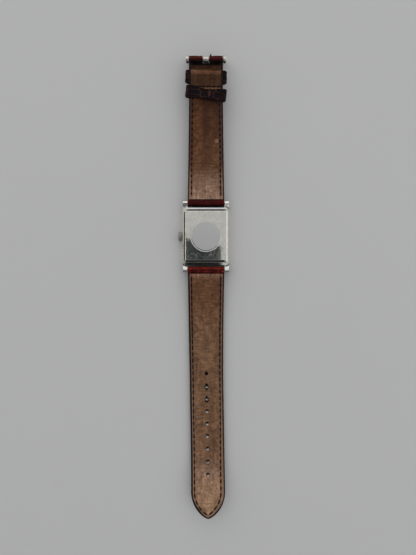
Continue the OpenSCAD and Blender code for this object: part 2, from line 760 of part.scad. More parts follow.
// Point and heading of a path, whose stretches turn at a steady rate
function stretch_point(p, s) = let (a = p[1] + (p[2] - p[1]) * s / p[0], turn = (p[2] - p[1]) * PI / 180)
    abs(turn) < 1e-6 ? s * [cos(a), sin(a)]
        : p[0] / turn * [sin(a) - sin(p[1]), cos(p[1]) - cos(a)];
function path_point(path, s, i = 0) = i == len(path) - 1 || s <= path[i][0]
    ? stretch_point(path[i], s)
    : stretch_point(path[i], path[i][0]) + path_point(path, s - path[i][0], i + 1);
function path_angle(path, s, i = 0) = i == len(path) - 1 || s <= path[i][0]
    ? path[i][1] + (path[i][2] - path[i][1]) * s / path[i][0]
    : path_angle(path, s - path[i][0], i + 1);

// Place of a strap point: x across, s along, t above the lining side
function strap_point(path, x, s, t) = let (p = path_point(path, s), a = path_angle(path, s))
    [x + lean_at(path, s), p[0] - t * sin(a), p[1] + loop_r + t * cos(a)];
function lean_at(path, s) = path == long_path ? long_lean * smooth((s - 15) / (long_l - 15)) : 0;

function smooth(x) = let (k = min(1, max(0, x))) k * k * (3 - 2 * k);
function taper_half(s, run) = (strap_w + (strap_end_w - strap_w) * min(1, s / run)) / 2;
// Half width of the pointed piece: straight sides, an ogive, and a small round at the point
tip_half = strap_end_w / 2;
tip_centre = tip_l - tip_r;
tip_bend = (tip_half * tip_half + tip_centre * tip_centre - tip_r * tip_r) / (2 * (tip_half - tip_r));
tip_from = tip_centre * tip_bend / (tip_bend - tip_r);
function point_half(f) = f < tip_from
    ? sqrt(tip_bend * tip_bend - f * f) - tip_bend + tip_half
    : sqrt(max(0.02, tip_r * tip_r - pow(f - tip_centre, 2)));
function long_half(s) = s < long_l - tip_l ? taper_half(s, long_taper) : point_half(s - long_l + tip_l);
function short_half(s) = taper_half(s, short_taper);

// Height of the padding along the strap, and its dome across the strap
function pad_height(s) = pad_end + (pad_lug - pad_end)
    * (1 - smooth((s - pad_rise) / (pad_run - pad_rise))) * (0.7 + 0.3 * smooth(s / pad_rise));
function pad_dome(u) = abs(u) > pad_edge + 0.01 ? 0
    : 0.06 + 0.94 * pow(max(0, 1 - pow(u / pad_edge, 2)), 0.8);
function pad_mix(s, u) = let (k = smooth((s - 1) / 8)) 1 - k + k * pad_dome(u);

pad_us = [-pad_edge, -0.68, -0.48, -0.24, 0, 0.24, 0.48, 0.68, pad_edge];
face_us = concat([-1, -pad_edge - 0.04], pad_us, [pad_edge + 0.04, 1]);

// Places along a strap where its skin has a ring
function steps_between(a, b, count) = [for (i = [0:count]) a + (b - a) * i / count];
long_steps = concat([1, long_from], steps_between(3, 9, 3), steps_between(12, 35, 8),
    steps_between(45, 80, 3), steps_between(85, long_l - tip_l, 4),
    [for (k = [0.2, 0.35, 0.48, 0.6, 0.7, 0.79, 0.86, 0.91, 0.95, 0.98, 0.995, 1])
        long_l - tip_l + k * tip_l]);
short_pad_end = fixed_at - keeper_w / 2 - 0.2;
short_steps = concat([1, short_from], steps_between(3, 9, 3), steps_between(12, 37, 8),
    [44, short_pad_end, short_l - 4, short_l - 2.6, short_l - 1.2]);

// Half width at a place, on either piece
function half_at(is_long, s) = is_long ? long_half(s) : short_half(s);

// Face leather between its outer skin and the padding
module face_skin(path, is_long, steps) {
    tube([for (s = steps) concat(
        [for (u = face_us) strap_point(path, u * half_at(is_long, s), s,
            -lining_t - face_t - pad_height(s) * pad_mix(s, u))],
        [for (i = [len(face_us) - 1:-1:0]) let (u = face_us[i])
            strap_point(path, u * half_at(is_long, s), s,
                -lining_t - (abs(u) < pad_edge + 0.02 ? pad_height(s) * pad_mix(s, u) : 0))])]);
}

module padding_skin(path, is_long, steps) {
    tube([for (s = steps) concat(
        [for (u = pad_us) strap_point(path, u * half_at(is_long, s), s,
            -lining_t - pad_height(s) * pad_mix(s, u))],
        [for (i = [len(pad_us) - 1:-1:0])
            strap_point(path, pad_us[i] * half_at(is_long, s), s, -lining_t)])], true);
}

module lining_skin(path, is_long, steps) {
    tube([for (s = steps) let (w = half_at(is_long, s)) [
        strap_point(path, -w, s, -lining_t), strap_point(path, w, s, -lining_t),
        strap_point(path, w, s, 0), strap_point(path, -w, s, 0)]]);
}

// Loop of leather round the lug bar, with its end lapped over to the lining
module lug_loop(path, half) {
    rod_x(loop_r, -half, half);
    rotate([path[0][1], 0, 0]) translate([0.05 - half, 0, 0])
        cube([2 * half - 0.1, loop_end - fit_gap, loop_r]);
}

// Holes of the pointed piece, square to the strap where they are
module strap_holes(path) {
    for (i = [0:hole_count - 1]) {
        s = first_hole + i * hole_pitch;
        p = strap_point(path, 0, s, 0);
        translate(p) rotate([path_angle(path, s), 0, 0])
            translate([0, 0, -2 * end_t]) cylinder(r = hole_r, h = 4 * end_t, $fn = 24);
    }
}

module long_place() {
    mirror([0, 1, 0]) translate([0, bar_y, bar_z]) children();
}

module short_place() {
    translate([0, bar_y, bar_z]) children();
}

// Place on the buckle piece at s, with +Y along the strap and the lining side at height 0
module on_short(s) {
    short_place() translate(strap_point(short_path, 0, s, 0))
        rotate([path_angle(short_path, s), 0, 0]) children();
}

module buckle_place() {
    on_short(short_l) translate([0, 0, -buckle_drop]) children();
}

function steps_from(a, b, steps) = concat([a], [for (s = steps) if (s > a && s < b) s], [b]);

module long_strap_face() color(face_leather) long_place() difference() {
    union() {
        lug_loop(long_path, taper_half(0, long_taper));
        face_skin(long_path, true, long_steps);
    }
    rod_x(bar_r + run_gap, -case_w, case_w);
    strap_holes(long_path);
}

module long_strap_padding() color("tan") long_place() difference() {
    padding_skin(long_path, true, steps_from(long_from, long_l - 0.3 * tip_l, long_steps));
    strap_holes(long_path);
}

module long_strap_lining() color(lining_leather) long_place() difference() {
    lining_skin(long_path, true, steps_from(long_from, long_l, long_steps));
    strap_holes(long_path);
}

// Slot at the buckle end that leaves room for the tongue
module tongue_slot() {
    buckle_place() translate([-slot_half, -tongue_ring_r - 0.6, -4]) cube([2 * slot_half, 6, 8]);
}

// Room for the fixed keeper between face leather and lining
module keeper_pocket() {
    on_short(fixed_at) translate([0, 0, -lining_t])
        cube([2 * strap_w, keeper_w + 2 * pocket_gap, keeper_t + 2 * pocket_gap], center = true);
}

module short_strap_face() color(face_leather) difference() {
    union() {
        short_place() {
            lug_loop(short_path, taper_half(0, short_taper));
            face_skin(short_path, false, short_steps);
        }
        buckle_place() {
            half = short_half(short_l) - 0.05;
            rod_x(loop_r, -half, half);
            translate([0.05 - half, fit_gap - loop_end, 0]) cube([2 * half - 0.1, loop_end - fit_gap, buckle_drop]);
        }
    }
    short_place() rod_x(bar_r + run_gap, -case_w, case_w);
    buckle_place() rod_x(bar_r + run_gap, -case_w, case_w);
    tongue_slot();
    keeper_pocket();
}

module short_strap_padding() color("tan") short_place()
    padding_skin(short_path, false, steps_from(short_from, short_pad_end, short_steps));

module short_strap_lining() color(lining_leather) difference() {
    short_place() lining_skin(short_path, false,
        steps_from(short_from, short_l - loop_end, short_steps));
    keeper_pocket();
    tongue_slot();
}

// Keeper: a flat loop round the strap, drawn in x and height and extruded along the strap
module keeper(top, half) {
    inner = half - keeper_t;
    low = -end_t - keeper_room - keeper_t;
    rotate([90, 0, 0]) linear_extrude(keeper_w, center = true)
        translate([0, (top + low) / 2]) difference() {
            rounded(2 * half, top - low, 1.3);
            rounded(2 * inner, top - low - 2 * keeper_t, 0.6);
        }
}

module fixed_keeper() color(face_leather) on_short(fixed_at)
    keeper(-lining_t + keeper_t / 2, short_half(fixed_at) + keeper_gap + keeper_t);

module loose_keeper() color(face_leather) on_short(loose_at) rotate(-keeper_skew)
    keeper(keeper_t + 0.1, short_half(loose_at) + keeper_gap + keeper_t);

// Buckle frame in its own plane: +Y from the bar out to the rail, +Z to the lining side
module buckle_plan() {
    half = buckle_half + arm_w;
    corner = 2.2;
    difference() {
        union() {
            translate([-half, -2 * knuckle_r]) square([2 * half, 2 * knuckle_r + buckle_reach - corner]);
            translate([corner - half, 0]) square([2 * (half - corner), buckle_reach]);
            for (x = [-1, 1]) translate([x * (half - corner), buckle_reach - corner]) circle(corner);
        }
        translate([0, buckle_reach - rail_w - 7]) rounded(2 * buckle_half, 14, 0.9);
        translate([-buckle_half, -3 * knuckle_r]) square([2 * buckle_half, 3 * knuckle_r]);
    }
}

// Side view of the frame: round knuckle, arm that thins out, and rounded rail
module buckle_side() {
    rail_y = buckle_reach - rail_t / 2;
    arm = [for (i = [0:8]) let (k = smooth(i / 8)) [rail_y * i / 8, rail_n * k,
        knuckle_r * (1 - k) + (rail_t / 2 - 0.02) * k + 0.35 * sin(180 * k)]];
    circle(knuckle_r);
    polygon([for (p = arm) [p[0], p[1] - p[2]], for (i = [8:-1:0]) [arm[i][0], arm[i][1] + arm[i][2]]]);
    translate([rail_y, rail_n]) circle(rail_t / 2);
}

module buckle_pose() {
    translate(buckle_axis()) rotate([-buckle_hang, 0, 0]) children();
}

// Axis of the buckle's bar in the watch's frame
function buckle_axis() = let (a = path_angle(short_path, short_l),
        p = strap_point(short_path, 0, short_l, -buckle_drop)) p + [0, bar_y, bar_z];

module buckle_frame() color(steel) buckle_pose() difference() {
    intersection() {
        translate([0, 0, -5]) linear_extrude(10) buckle_plan();
        side_cut(2 * case_w) buckle_side();
    }
    for (x = [0, 1]) mirror([x, 0, 0])
        rod_x(pin_r + fit_gap, buckle_half - eps, buckle_half + arm_w - 0.4);
    translate([-tongue_w / 2 - 0.2, buckle_reach - rail_w - 1, rail_n - rail_t])
        cube([tongue_w + 0.4, rail_w + 2, rail_t / 2 + 0.5]);
}

// Tongue: a ring on the bar and a blade that lies in the rail's notch
module buckle_tongue() color(steel) buckle_pose() {
    top = rail_n - rail_t / 2 + 0.45;
    difference() {
        side_cut(tongue_w / 2) {
            circle(tongue_ring_r);
            polygon([[0, -tongue_ring_r], [buckle_reach - 1, top - tongue_t],
                [buckle_reach + 0.5, top - tongue_t + 0.2], [buckle_reach + 0.5, top - 0.15],
                [buckle_reach, top], [0, top]]);
        }
        rod_x(bar_r + run_gap, -case_w, case_w);
        translate([0, buckle_reach - 1.4, 0]) for (x = [0, 1]) mirror([x, 0, 0])
            translate([tongue_w / 2, 0, -5]) rotate(12) cube([5, 9, 10]);
    }
}

module top_bar() {
    translate([0, bar_y, bar_z]) children();
}

module bottom_bar() {
    translate([0, -bar_y, bar_z]) children();
}

lug_bar_half = lug_gap / 2 - 0.2;
buckle_bar_half = buckle_half - 0.2;
buckle_pin_reach = 0.2 + arm_w - 0.5;

case_middle();
case_back();
back_gasket();
crystal();
crystal_gasket();
crown_tube();
dial();
hour_markers();
movement_ring();
main_plate();
train_bridge();
movement_screws();
button_cell();
cell_clamp();
circuit_board();
quartz_can();
stator();
coil_core();
coil();
minute_hand();
cannon_pinion();
centre_wheel();
hour_hand();
hour_wheel();
minute_wheel();
setting_wheel();
reduction_wheel();
rotor();
clutch();
stem();
crown();
crown_gasket();
setting_lever();
color(steel) top_bar() bar_barrel(lug_bar_half);  // top_bar_barrel
color(steel) top_bar() bar_spring(lug_bar_half);  // top_bar_spring
color(steel) top_bar() mirror([1, 0, 0]) bar_tip(lug_bar_half, pin_reach);  // top_bar_left_tip
color(steel) top_bar() bar_tip(lug_bar_half, pin_reach);  // top_bar_right_tip
color(steel) bottom_bar() bar_barrel(lug_bar_half);  // bottom_bar_barrel
color(steel) bottom_bar() bar_spring(lug_bar_half);  // bottom_bar_spring
color(steel) bottom_bar() mirror([1, 0, 0]) bar_tip(lug_bar_half, pin_reach);  // bottom_bar_left_tip
color(steel) bottom_bar() bar_tip(lug_bar_half, pin_reach);  // bottom_bar_right_tip
color(steel) buckle_pose() bar_barrel(buckle_bar_half);  // buckle_bar_barrel
color(steel) buckle_pose() bar_spring(buckle_bar_half);  // buckle_bar_spring
color(steel) buckle_pose() mirror([1, 0, 0]) bar_tip(buckle_bar_half, buckle_pin_reach);  // buckle_bar_left_tip
color(steel) buckle_pose() bar_tip(buckle_bar_half, buckle_pin_reach);  // buckle_bar_right_tip
long_strap_face();
long_strap_padding();
long_strap_lining();
short_strap_face();
short_strap_padding();
short_strap_lining();
fixed_keeper();
loose_keeper();
buckle_frame();
buckle_tongue();
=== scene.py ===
"""Rectangular wristwatch lying on its face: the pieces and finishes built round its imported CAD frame."""
import json
import math
from contextlib import contextmanager

import bpy
import numpy as np
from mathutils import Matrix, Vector


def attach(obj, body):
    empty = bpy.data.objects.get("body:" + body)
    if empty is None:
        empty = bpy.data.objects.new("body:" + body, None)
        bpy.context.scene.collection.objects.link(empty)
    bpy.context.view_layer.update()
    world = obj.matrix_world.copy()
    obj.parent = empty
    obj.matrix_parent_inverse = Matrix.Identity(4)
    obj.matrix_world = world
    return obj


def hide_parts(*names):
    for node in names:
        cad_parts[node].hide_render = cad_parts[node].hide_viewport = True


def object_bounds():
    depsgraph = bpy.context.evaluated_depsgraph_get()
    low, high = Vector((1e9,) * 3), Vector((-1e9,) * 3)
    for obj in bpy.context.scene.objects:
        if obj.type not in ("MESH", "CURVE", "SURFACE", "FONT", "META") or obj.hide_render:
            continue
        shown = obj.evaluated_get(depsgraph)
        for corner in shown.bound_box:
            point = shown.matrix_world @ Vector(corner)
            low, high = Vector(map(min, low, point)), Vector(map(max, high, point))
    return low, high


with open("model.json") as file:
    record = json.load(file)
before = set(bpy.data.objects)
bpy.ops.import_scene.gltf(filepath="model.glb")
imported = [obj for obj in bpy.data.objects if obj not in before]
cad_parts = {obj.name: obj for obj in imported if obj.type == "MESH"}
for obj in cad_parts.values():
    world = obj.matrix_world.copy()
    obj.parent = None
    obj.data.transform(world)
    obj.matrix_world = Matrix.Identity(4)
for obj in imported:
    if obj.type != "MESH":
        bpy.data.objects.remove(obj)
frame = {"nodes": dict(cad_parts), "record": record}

bl_info = {
    "name": "Rectangular wristwatch",
    "version": (1, 0, 0),
    "blender": (4, 5, 0),
    "location": "View3D > Sidebar > Watch",
    "description": "Builds the strap, keepers, case, buckle and finishes of a rectangular wristwatch",
    "category": "Object",
}

CAD_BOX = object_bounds()
MM = 0.001  # the frame is in metres, and the sizes below are in millimetres
BAR_Y, BAR_Z = 16.0, 4.2  # axis of the bars between the lugs
LOOP_R = 1.65  # outer radius of a leather loop
LOOP_T = 0.85  # leather round a bar
LOOP_CLEAR = 0.1  # from a loop to the lining
LINING_T = 0.8
FACE_T = 1.1
PAD_THIN, PAD_RISE = 0.4, 1.4  # padding where it is thin, and what it gains by the lugs
WIDE, TAPER = 8.8, 50.0  # half width of the strap by the lugs, and the length it narrows over
TIP_L = 11.6  # pointed end
HOLE_PITCH = 6.1
HOLES = 51 + HOLE_PITCH * np.arange(9)  # the holes along the pointed piece
PUNCH_R = (0.45, 0.62, 0.62, 0.7)  # radius of the first holes and of all the others
PUNCH_SHIFT = (0.25, 0.35, 0.25, 0.15)  # how far each of them is drawn towards the tip
PUNCH_DEEP, PUNCH_DRAG = 2.2, 0.62  # depth of a hole, and how far its far wall is dragged in
SLOT_W, SLOT_LINING_S, SLOT_FACE_S = 3.2, 65.35, 64.7  # slot for the tongue, and where it starts
BUCKLE_S, BUCKLE_T = 67.0, -1.3  # the buckle's bar on the short piece
PATCH_S = 54.4  # stitched end of the lap that comes back from the buckle
FIXED_S, LOOSE_S = 59.2, 51.3  # the keepers along the short piece
KEEPER_W, KEEPER_T = 6.0, 1.0
SEAM_DEPTH, SEAM_W = 0.16, 0.28  # furrow that a seam draws into the leather
TRACK_X, TRACK_Y, TRACK_Z, TRACK_LINE = 7.75, 10.25, 2.345, 0.11  # printed track of the dial
PANEL_X, PANEL_Y, PANEL_Z = 10.3, 12.6, 6.6  # half width and half length of the back's panel, and its top
BRIM_Z = 5.5  # top of the brim round the panel
DISC_R = 6.8  # frosted disc in the panel
CASE_END, LUG_IN = 14.1, 9.0  # end of the case between its lugs, and half of the gap between them
KEEPER_LEAN = 13  # degrees by which the keepers lean in side view
# near black for painted shade in the corners and gaps of the steel
SHADE_BLACK = (0.006, 0.0055, 0.005)


def smooth(x):
    """Eases from 0 at 0 to 1 at 1."""
    k = np.clip(x, 0, 1)
    return k * k * (3 - 2 * k)


def hump(x, at, width):
    """1 at a place, and falling away on both sides of it."""
    return np.exp(-(((x - at) / width) ** 2))


def along(path, s):
    """Place (y, z) and heading on a path of stretches that turn at a steady rate."""
    y, z, a = (np.zeros_like(s, float) for _ in range(3))
    start, y0, z0 = 0.0, 0.0, 0.0
    for i, (length, a0, a1) in enumerate(path):
        a0, a1 = math.radians(a0), math.radians(a1)

        def point(d):
            if abs(a1 - a0) < 1e-9:
                return d * math.cos(a0), d * math.sin(a0)
            turn = a0 + (a1 - a0) * d / length
            k = length / (a1 - a0)
            return k * (np.sin(turn) - math.sin(a0)), k * (math.cos(a0) - np.cos(turn))

        here = (s >= start) | (i == 0)  # the next stretch takes over from its own start
        py, pz = point(s - start)
        y = np.where(here, y0 + py, y)
        z = np.where(here, z0 + pz, z)
        a = np.where(here, a0 + (a1 - a0) * (s - start) / length, a)
        ey, ez = point(length)
        start, y0, z0 = start + length, y0 + ey, z0 + ez
    return y, z, a


def wrapped(turn, rho):
    """Places on a loop round a bar, which runs straight on once it has gone half round."""
    lap = turn > math.pi
    return (np.where(lap, -(turn - math.pi) * LOOP_R, rho * np.sin(turn)),
            np.where(lap, rho, -rho * np.cos(turn)))


class Strap:
    """One piece of the strap. Flat places are x across, s along from the lug bar, t above the lining side."""

    def __init__(self, name, side, length, path, scales, seed, narrow, lean=0.0, pointed=False):
        self.name, self.body, self.side, self.length = name, name + "_strap", side, length
        self.path, self.scales, self.seed = path, scales, seed
        self.narrow, self.lean, self.pointed = narrow, lean, pointed
        self.head = math.radians(path[0][1])
        self.loop_s = -LOOP_R * math.sin(self.head)  # where the loop round the lug bar begins
        self.lining_s = self.loop_s + LOOP_R + LOOP_CLEAR
        self.lap_s = self.loop_s - LOOP_R * (math.pi + 1) - 0.02  # end of the lap on the lining side

    def half(self, s):
        """Half width."""
        s = np.asarray(s, float)
        wide = WIDE + (self.narrow - WIDE) * np.clip(s / TAPER, 0, 1)
        if not self.pointed:
            return wide
        u = np.maximum(0, (s - self.length) / TIP_L + 1)
        return wide * np.maximum(0.003, 1 - u * u) ** 0.68

    def padding(self, s, u):
        """Height of the padding under the face leather, at a share u of the half width."""
        height = PAD_THIN + PAD_RISE * (1 - smooth((s - 6) / 24)) * (0.7 + 0.3 * smooth(s / 6))
        dome = 0.06 * smooth((0.88 - np.abs(u)) / 0.06) + 0.94 * np.clip(1 - (u / 0.82) ** 2, 0, 1) ** 0.8
        k = smooth((s - 1) / 8)
        return height * (1 - k + k * dome)

    def place(self, flat):
        """World place in metres of flat points."""
        x, s, t = flat.T
        y0, z0, a = along(self.path, np.maximum(s, self.loop_s))
        lift = LOOP_R * (1 - math.cos(self.head)) * (1 - smooth((s - self.loop_s) / 2.5))
        y = y0 - (t + lift) * np.sin(a)
        z = z0 + LOOP_R + (t + lift) * np.cos(a)
        back, up = wrapped((self.loop_s - s) / LOOP_R, -t - LOOP_R)
        c, d = math.cos(self.head), math.sin(self.head)
        near = s < self.loop_s
        y, z = np.where(near, -back * c - up * d, y), np.where(near, -back * d + up * c, z)
        if not self.pointed:
            out, up = wrapped((s - BUCKLE_S) / LOOP_R, BUCKLE_T - t)
            far = s > BUCKLE_S
            y2, z2 = self.local(BUCKLE_S, out, up + BUCKLE_T)
            y, z = np.where(far, y2, y), np.where(far, z2, z)
        x = x + self.lean * smooth((s - 15) / (self.length - 15)) ** 1.3
        return np.stack([x, self.side * (BAR_Y + y), BAR_Z + z], 1) * MM

    def local(self, s, out, up):
        """(y, z) from the bar of a point given in the strap's own directions at s."""
        y, z, a = along(self.path, np.array([float(s)]))
        return (y + out * np.cos(a) - up * np.sin(a), z + LOOP_R + out * np.sin(a) + up * np.cos(a))


# a column of pressed scales has its middle across the strap and the length of its scales
LONG_SCALES = ((-8.3, 2.0), (-5.1, 2.8), (0.2, 4.2), (5.6, 3.0), (8.8, 2.0))
SHORT_SCALES = ((-8.9, 2.0), (-5.1, 2.8), (-2.2, 3.4), (1.2, 3.6), (5.4, 2.9), (8.6, 2.0))
LONG = Strap("long", -1, 119.0, ((35, -11.5, 0), (47, 0, 0), (60, 0, 33)), LONG_SCALES, 11, 8.2, 1.05, True)
SHORT = Strap("short", 1, BUCKLE_S, ((38, -1, 5.5), (25, 5.5, 5.5), (20, 5.5, 38)), SHORT_SCALES, 23, 8.0)
STRAPS = (LONG, SHORT)


# Modelling

def rest():
    """Leaves edit mode and deselects every object."""
    if bpy.context.object and bpy.context.object.mode != "OBJECT":
        bpy.ops.object.mode_set(mode="OBJECT")
    bpy.ops.object.select_all(action="DESELECT")


def hold(obj):
    """Makes an object the active and only selected one."""
    rest()
    obj.select_set(True)
    bpy.context.view_layer.objects.active = obj


def added(shape, **settings):
    """A new primitive, alone in the selection."""
    rest()
    getattr(bpy.ops.mesh, f"primitive_{shape}_add")(**settings)
    return bpy.context.object


def settled(obj):
    """An object with its place and turn moved into its mesh."""
    hold(obj)
    bpy.ops.object.transform_apply()
    return obj


@contextmanager
def editing(obj):
    """Edit mode with every point selected."""
    hold(obj)
    bpy.ops.object.mode_set(mode="EDIT")
    bpy.ops.mesh.select_mode(type="VERT")
    bpy.ops.mesh.select_all(action="SELECT")
    yield
    bpy.ops.object.mode_set(mode="OBJECT")


def points_of(obj):
    """Places of the points of a mesh."""
    co = np.empty(len(obj.data.vertices) * 3, np.float32)
    obj.data.vertices.foreach_get("co", co)
    return co.reshape(-1, 3).astype(float)


def move_points(obj, co):
    """Puts the points of a mesh at new places."""
    obj.data.vertices.foreach_set("co", np.ascontiguousarray(co, np.float32).ravel())
    obj.data.update()


def note(obj, **values):
    """Keeps numbers on the points of a mesh, for its material."""
    for name, value in values.items():
        kind, field = ("FLOAT_VECTOR", "vector") if np.ndim(value) == 2 else ("FLOAT", "value")
        layer = obj.data.attributes.new(name, kind, "POINT")
        layer.data.foreach_set(field, np.asarray(value, np.float32).ravel())


def skin(name, rings, ends_meet=False):
    """Closed skin: a grid whose rows become closed rings of points. Its two ends are capped, or meet."""
    rings = np.asarray(rings, float)
    rows, cols = rings.shape[:2]
    obj = added("grid", x_subdivisions=cols, y_subdivisions=rows - (0 if ends_meet else 1), size=1)
    obj.name = obj.data.name = name
    points = np.concatenate([rings, rings[:, :1]], 1)
    if ends_meet:
        points = np.concatenate([points, points[:1]], 0)
    move_points(obj, points.reshape(-1, 3))
    with editing(obj):
        bpy.ops.mesh.remove_doubles(threshold=1e-7)
        if not ends_meet:
            bpy.ops.mesh.select_all(action="DESELECT")
            bpy.ops.mesh.select_non_manifold(extend=False)
            bpy.ops.mesh.edge_face_add()
        bpy.ops.mesh.select_all(action="SELECT")
        bpy.ops.mesh.normals_make_consistent(inside=False)
    return obj


def modify(obj, kind, **settings):
    """Applies one modifier with its settings."""
    hold(obj)
    change = obj.modifiers.new(kind.title(), kind)
    for key, value in settings.items():
        setattr(change, key, value)
    bpy.ops.object.modifier_apply(modifier=change.name)
    return obj


def join(name, parts):
    """Makes several objects one, under a new name."""
    hold(parts[0])
    for part in parts:
        part.select_set(True)
    bpy.ops.object.join()
    parts[0].name = parts[0].data.name = name
    return parts[0]


def cut(obj, tool):
    """Takes the space of a tool out of an object, and the tool out of the scene."""
    modify(obj, "BOOLEAN", operation="DIFFERENCE", object=tool, solver="EXACT")
    bpy.data.objects.remove(tool)


def many(name, model, places):
    """Copies of a small model: places holds for each copy its origin and three directions."""
    co = points_of(model)
    count = len(co)
    faces = [tuple(face.vertices) for face in model.data.polygons]
    points = np.concatenate([np.array(p[0]) + co @ np.array(p[1:]) for p in places])
    mesh = bpy.data.meshes.new(name)
    all_faces = [tuple(v + i * count for v in f) for i in range(len(places)) for f in faces]
    mesh.from_pydata(points.tolist(), [], all_faces)
    mesh.update()
    bpy.data.objects.remove(model)
    obj = bpy.data.objects.new(name, mesh)
    bpy.context.scene.collection.objects.link(obj)
    return obj


def finished(obj, body, slot, finish, *nodes, angle=40, flats=False):
    """Gives a piece its material and its body, and hides the CAD nodes it stands for. Flats keep flat
    reflections.
    """
    hold(obj)
    bpy.ops.object.shade_smooth_by_angle(angle=math.radians(angle))
    if flats:
        modify(obj, "WEIGHTED_NORMAL", mode="FACE_AREA", weight=100, keep_sharp=True)
    obj.data.materials.clear()
    obj.data.materials.append(finish)
    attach(obj, body)
    if nodes:
        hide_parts(*nodes)


def rounded(name, node, body, slot, finish, width, segments=2):
    """Copy of a steel CAD solid with its flats merged and its edges rounded over."""
    obj = bpy.data.objects.new(name, frame["nodes"][node].data.copy())
    obj.data.name = name
    bpy.context.scene.collection.objects.link(obj)
    with editing(obj):
        bpy.ops.mesh.remove_doubles(threshold=2e-6)
        bpy.ops.mesh.dissolve_limited(angle_limit=math.radians(1.2))
    modify(obj, "BEVEL", width=width, segments=segments, limit_method="ANGLE", angle_limit=math.radians(32),
           use_clamp_overlap=True, miter_outer="MITER_ARC")
    finished(obj, body, slot, finish, node, angle=50, flats=True)


# Materials

def shaded(colour, *shares):
    """A colour times one share, or times one share for each of its three parts."""
    return tuple(c * k for c, k in zip(colour, shares * (3 if len(shares) == 1 else 1)))


def paint(name, share=1.0):
    """One of the colours that a user can change, times a share."""
    return shaded(getattr(bpy.context.scene.watch_colours, name), share)


def size(name):
    """One of the sizes that a user can change, in millimetres."""
    return getattr(bpy.context.scene.watch_sizes, name) / MM


def sum_of(operation, other_first=False):
    """Method that adds the node for an operation on this value and another."""
    def method(self, other=None):
        terms = (other, self) if other_first else (self, other)
        wide = [isinstance(v, tuple) or (isinstance(v, Val) and v.socket.type in ("RGBA", "VECTOR"))
                for v in terms]
        if operation == "MULTIPLY" and wide[0] != wide[1]:
            vector, number = terms if wide[0] else reversed(terms)
            return self.finish.add("VectorMath", {"operation": "SCALE"}, {0: vector, "Scale": number})
        inputs = {i: v for i, v in enumerate(terms) if v is not None}
        return self.finish.add("VectorMath" if any(wide) else "Math", {"operation": operation}, inputs)
    return method


class Val:
    """A number, colour or vector in a material's nodes that takes part in Python sums."""
    __add__, __radd__ = sum_of("ADD"), sum_of("ADD", True)
    __sub__, __rsub__ = sum_of("SUBTRACT"), sum_of("SUBTRACT", True)
    __mul__, __rmul__ = sum_of("MULTIPLY"), sum_of("MULTIPLY", True)
    __pow__, __abs__ = sum_of("POWER"), sum_of("ABSOLUTE")
    at_least, at_most = sum_of("MAXIMUM"), sum_of("MINIMUM")

    def __init__(self, finish, socket):
        self.finish, self.socket = finish, socket

    def step(self, low, high, to=(0.0, 1.0)):
        """Runs smoothly from to[0] at low to to[1] at high."""
        return self.finish.add("MapRange", {"interpolation_type": "SMOOTHSTEP"},
                               {"Value": self, "From Min": low, "From Max": high,
                                "To Min": to[0], "To Max": to[1]})

    def between(self, low, rise, fall, high, top=1.0):
        """Top from rise to fall, and 0 below low and above high."""
        return self.step(low, rise) * self.step(fall, high, (top, 0))


class Finish:
    """The node material of one finish."""

    def __init__(self, name, **constants):
        self.material = bpy.data.materials.new(name)
        self.material.use_nodes = True
        self.tree = self.material.node_tree
        self.shader = self.tree.nodes["Principled BSDF"]
        self.set(**constants)
        where = self.add("TexCoord", out=3)
        # place on the object in millimetres
        self.place = self.add("VectorMath", {"operation": "SCALE"}, {0: where, "Scale": 1 / MM})

    def add(self, kind, settings=None, inputs=None, out=0):
        """A new node with its settings, and the values or links of its sockets."""
        node = self.tree.nodes.new("ShaderNode" + kind)
        for key, value in (settings or {}).items():
            setattr(node, key, value)
        for key, value in (inputs or {}).items():
            self.feed(node.inputs[key], value)
        return Val(self, node.outputs[out])

    def feed(self, socket, value):
        """Links a socket, or sets it to a constant."""
        if isinstance(value, Val):
            self.tree.links.new(value.socket, socket)
        elif socket.type == "RGBA" and len(value) == 3:
            socket.default_value = (*value, 1)
        else:
            socket.default_value = value

    def set(self, **inputs):
        """Links or sets inputs of the main shader."""
        for key, value in inputs.items():
            self.feed(self.shader.inputs[key.replace("_", " ")], value)

    def noted(self, name, out=2):
        """Numbers kept on the piece's points: out is 2 for a number and 1 for a vector."""
        return self.add("Attribute", {"attribute_name": name}, out=out)

    def split(self, vector):
        """The three parts of a vector."""
        node = self.add("SeparateXYZ", inputs={0: vector}).socket.node
        return [Val(self, output) for output in node.outputs]

    def stretched(self, where, stretch):
        """Place for a pattern, multiplied along each axis."""
        where = where or self.place
        return self.add("VectorMath", {"operation": "MULTIPLY"}, {0: where, 1: stretch}) if stretch else where

    def noise(self, scale, detail, rough, where=None, stretch=None, warp=0.0):
        """Cloudy noise from 0 to 1, with scale in features per millimetre."""
        return self.add("TexNoise", {}, {"Vector": self.stretched(where, stretch),
                                         "Scale": scale, "Detail": detail,
                                         "Roughness": rough, "Distortion": warp})

    def cells(self, scale, where, stretch, feature="F1"):
        """Distance to the middles of scattered cells, or to the edges between them."""
        return self.add("TexVoronoi", {"feature": feature},
                        {"Vector": self.stretched(where, stretch), "Scale": scale})

    def mix(self, share, a, b):
        """Goes from one colour to another with a share from 0 to 1."""
        return self.add("Mix", {"data_type": "RGBA"}, {0: share, 6: a, 7: b}, out=2)

    def over(self, base, *layers):
        """A base with colours laid over it in turn, each with the share of it that it covers."""
        for share, colour in layers:
            base = self.mix(share, base, colour)
        return base

    def bump(self, height, depth):
        """Relief whose height of 1 stands depth millimetres proud."""
        return self.add("Bump", {}, {"Height": height, "Distance": depth * MM, "Strength": 1.0})


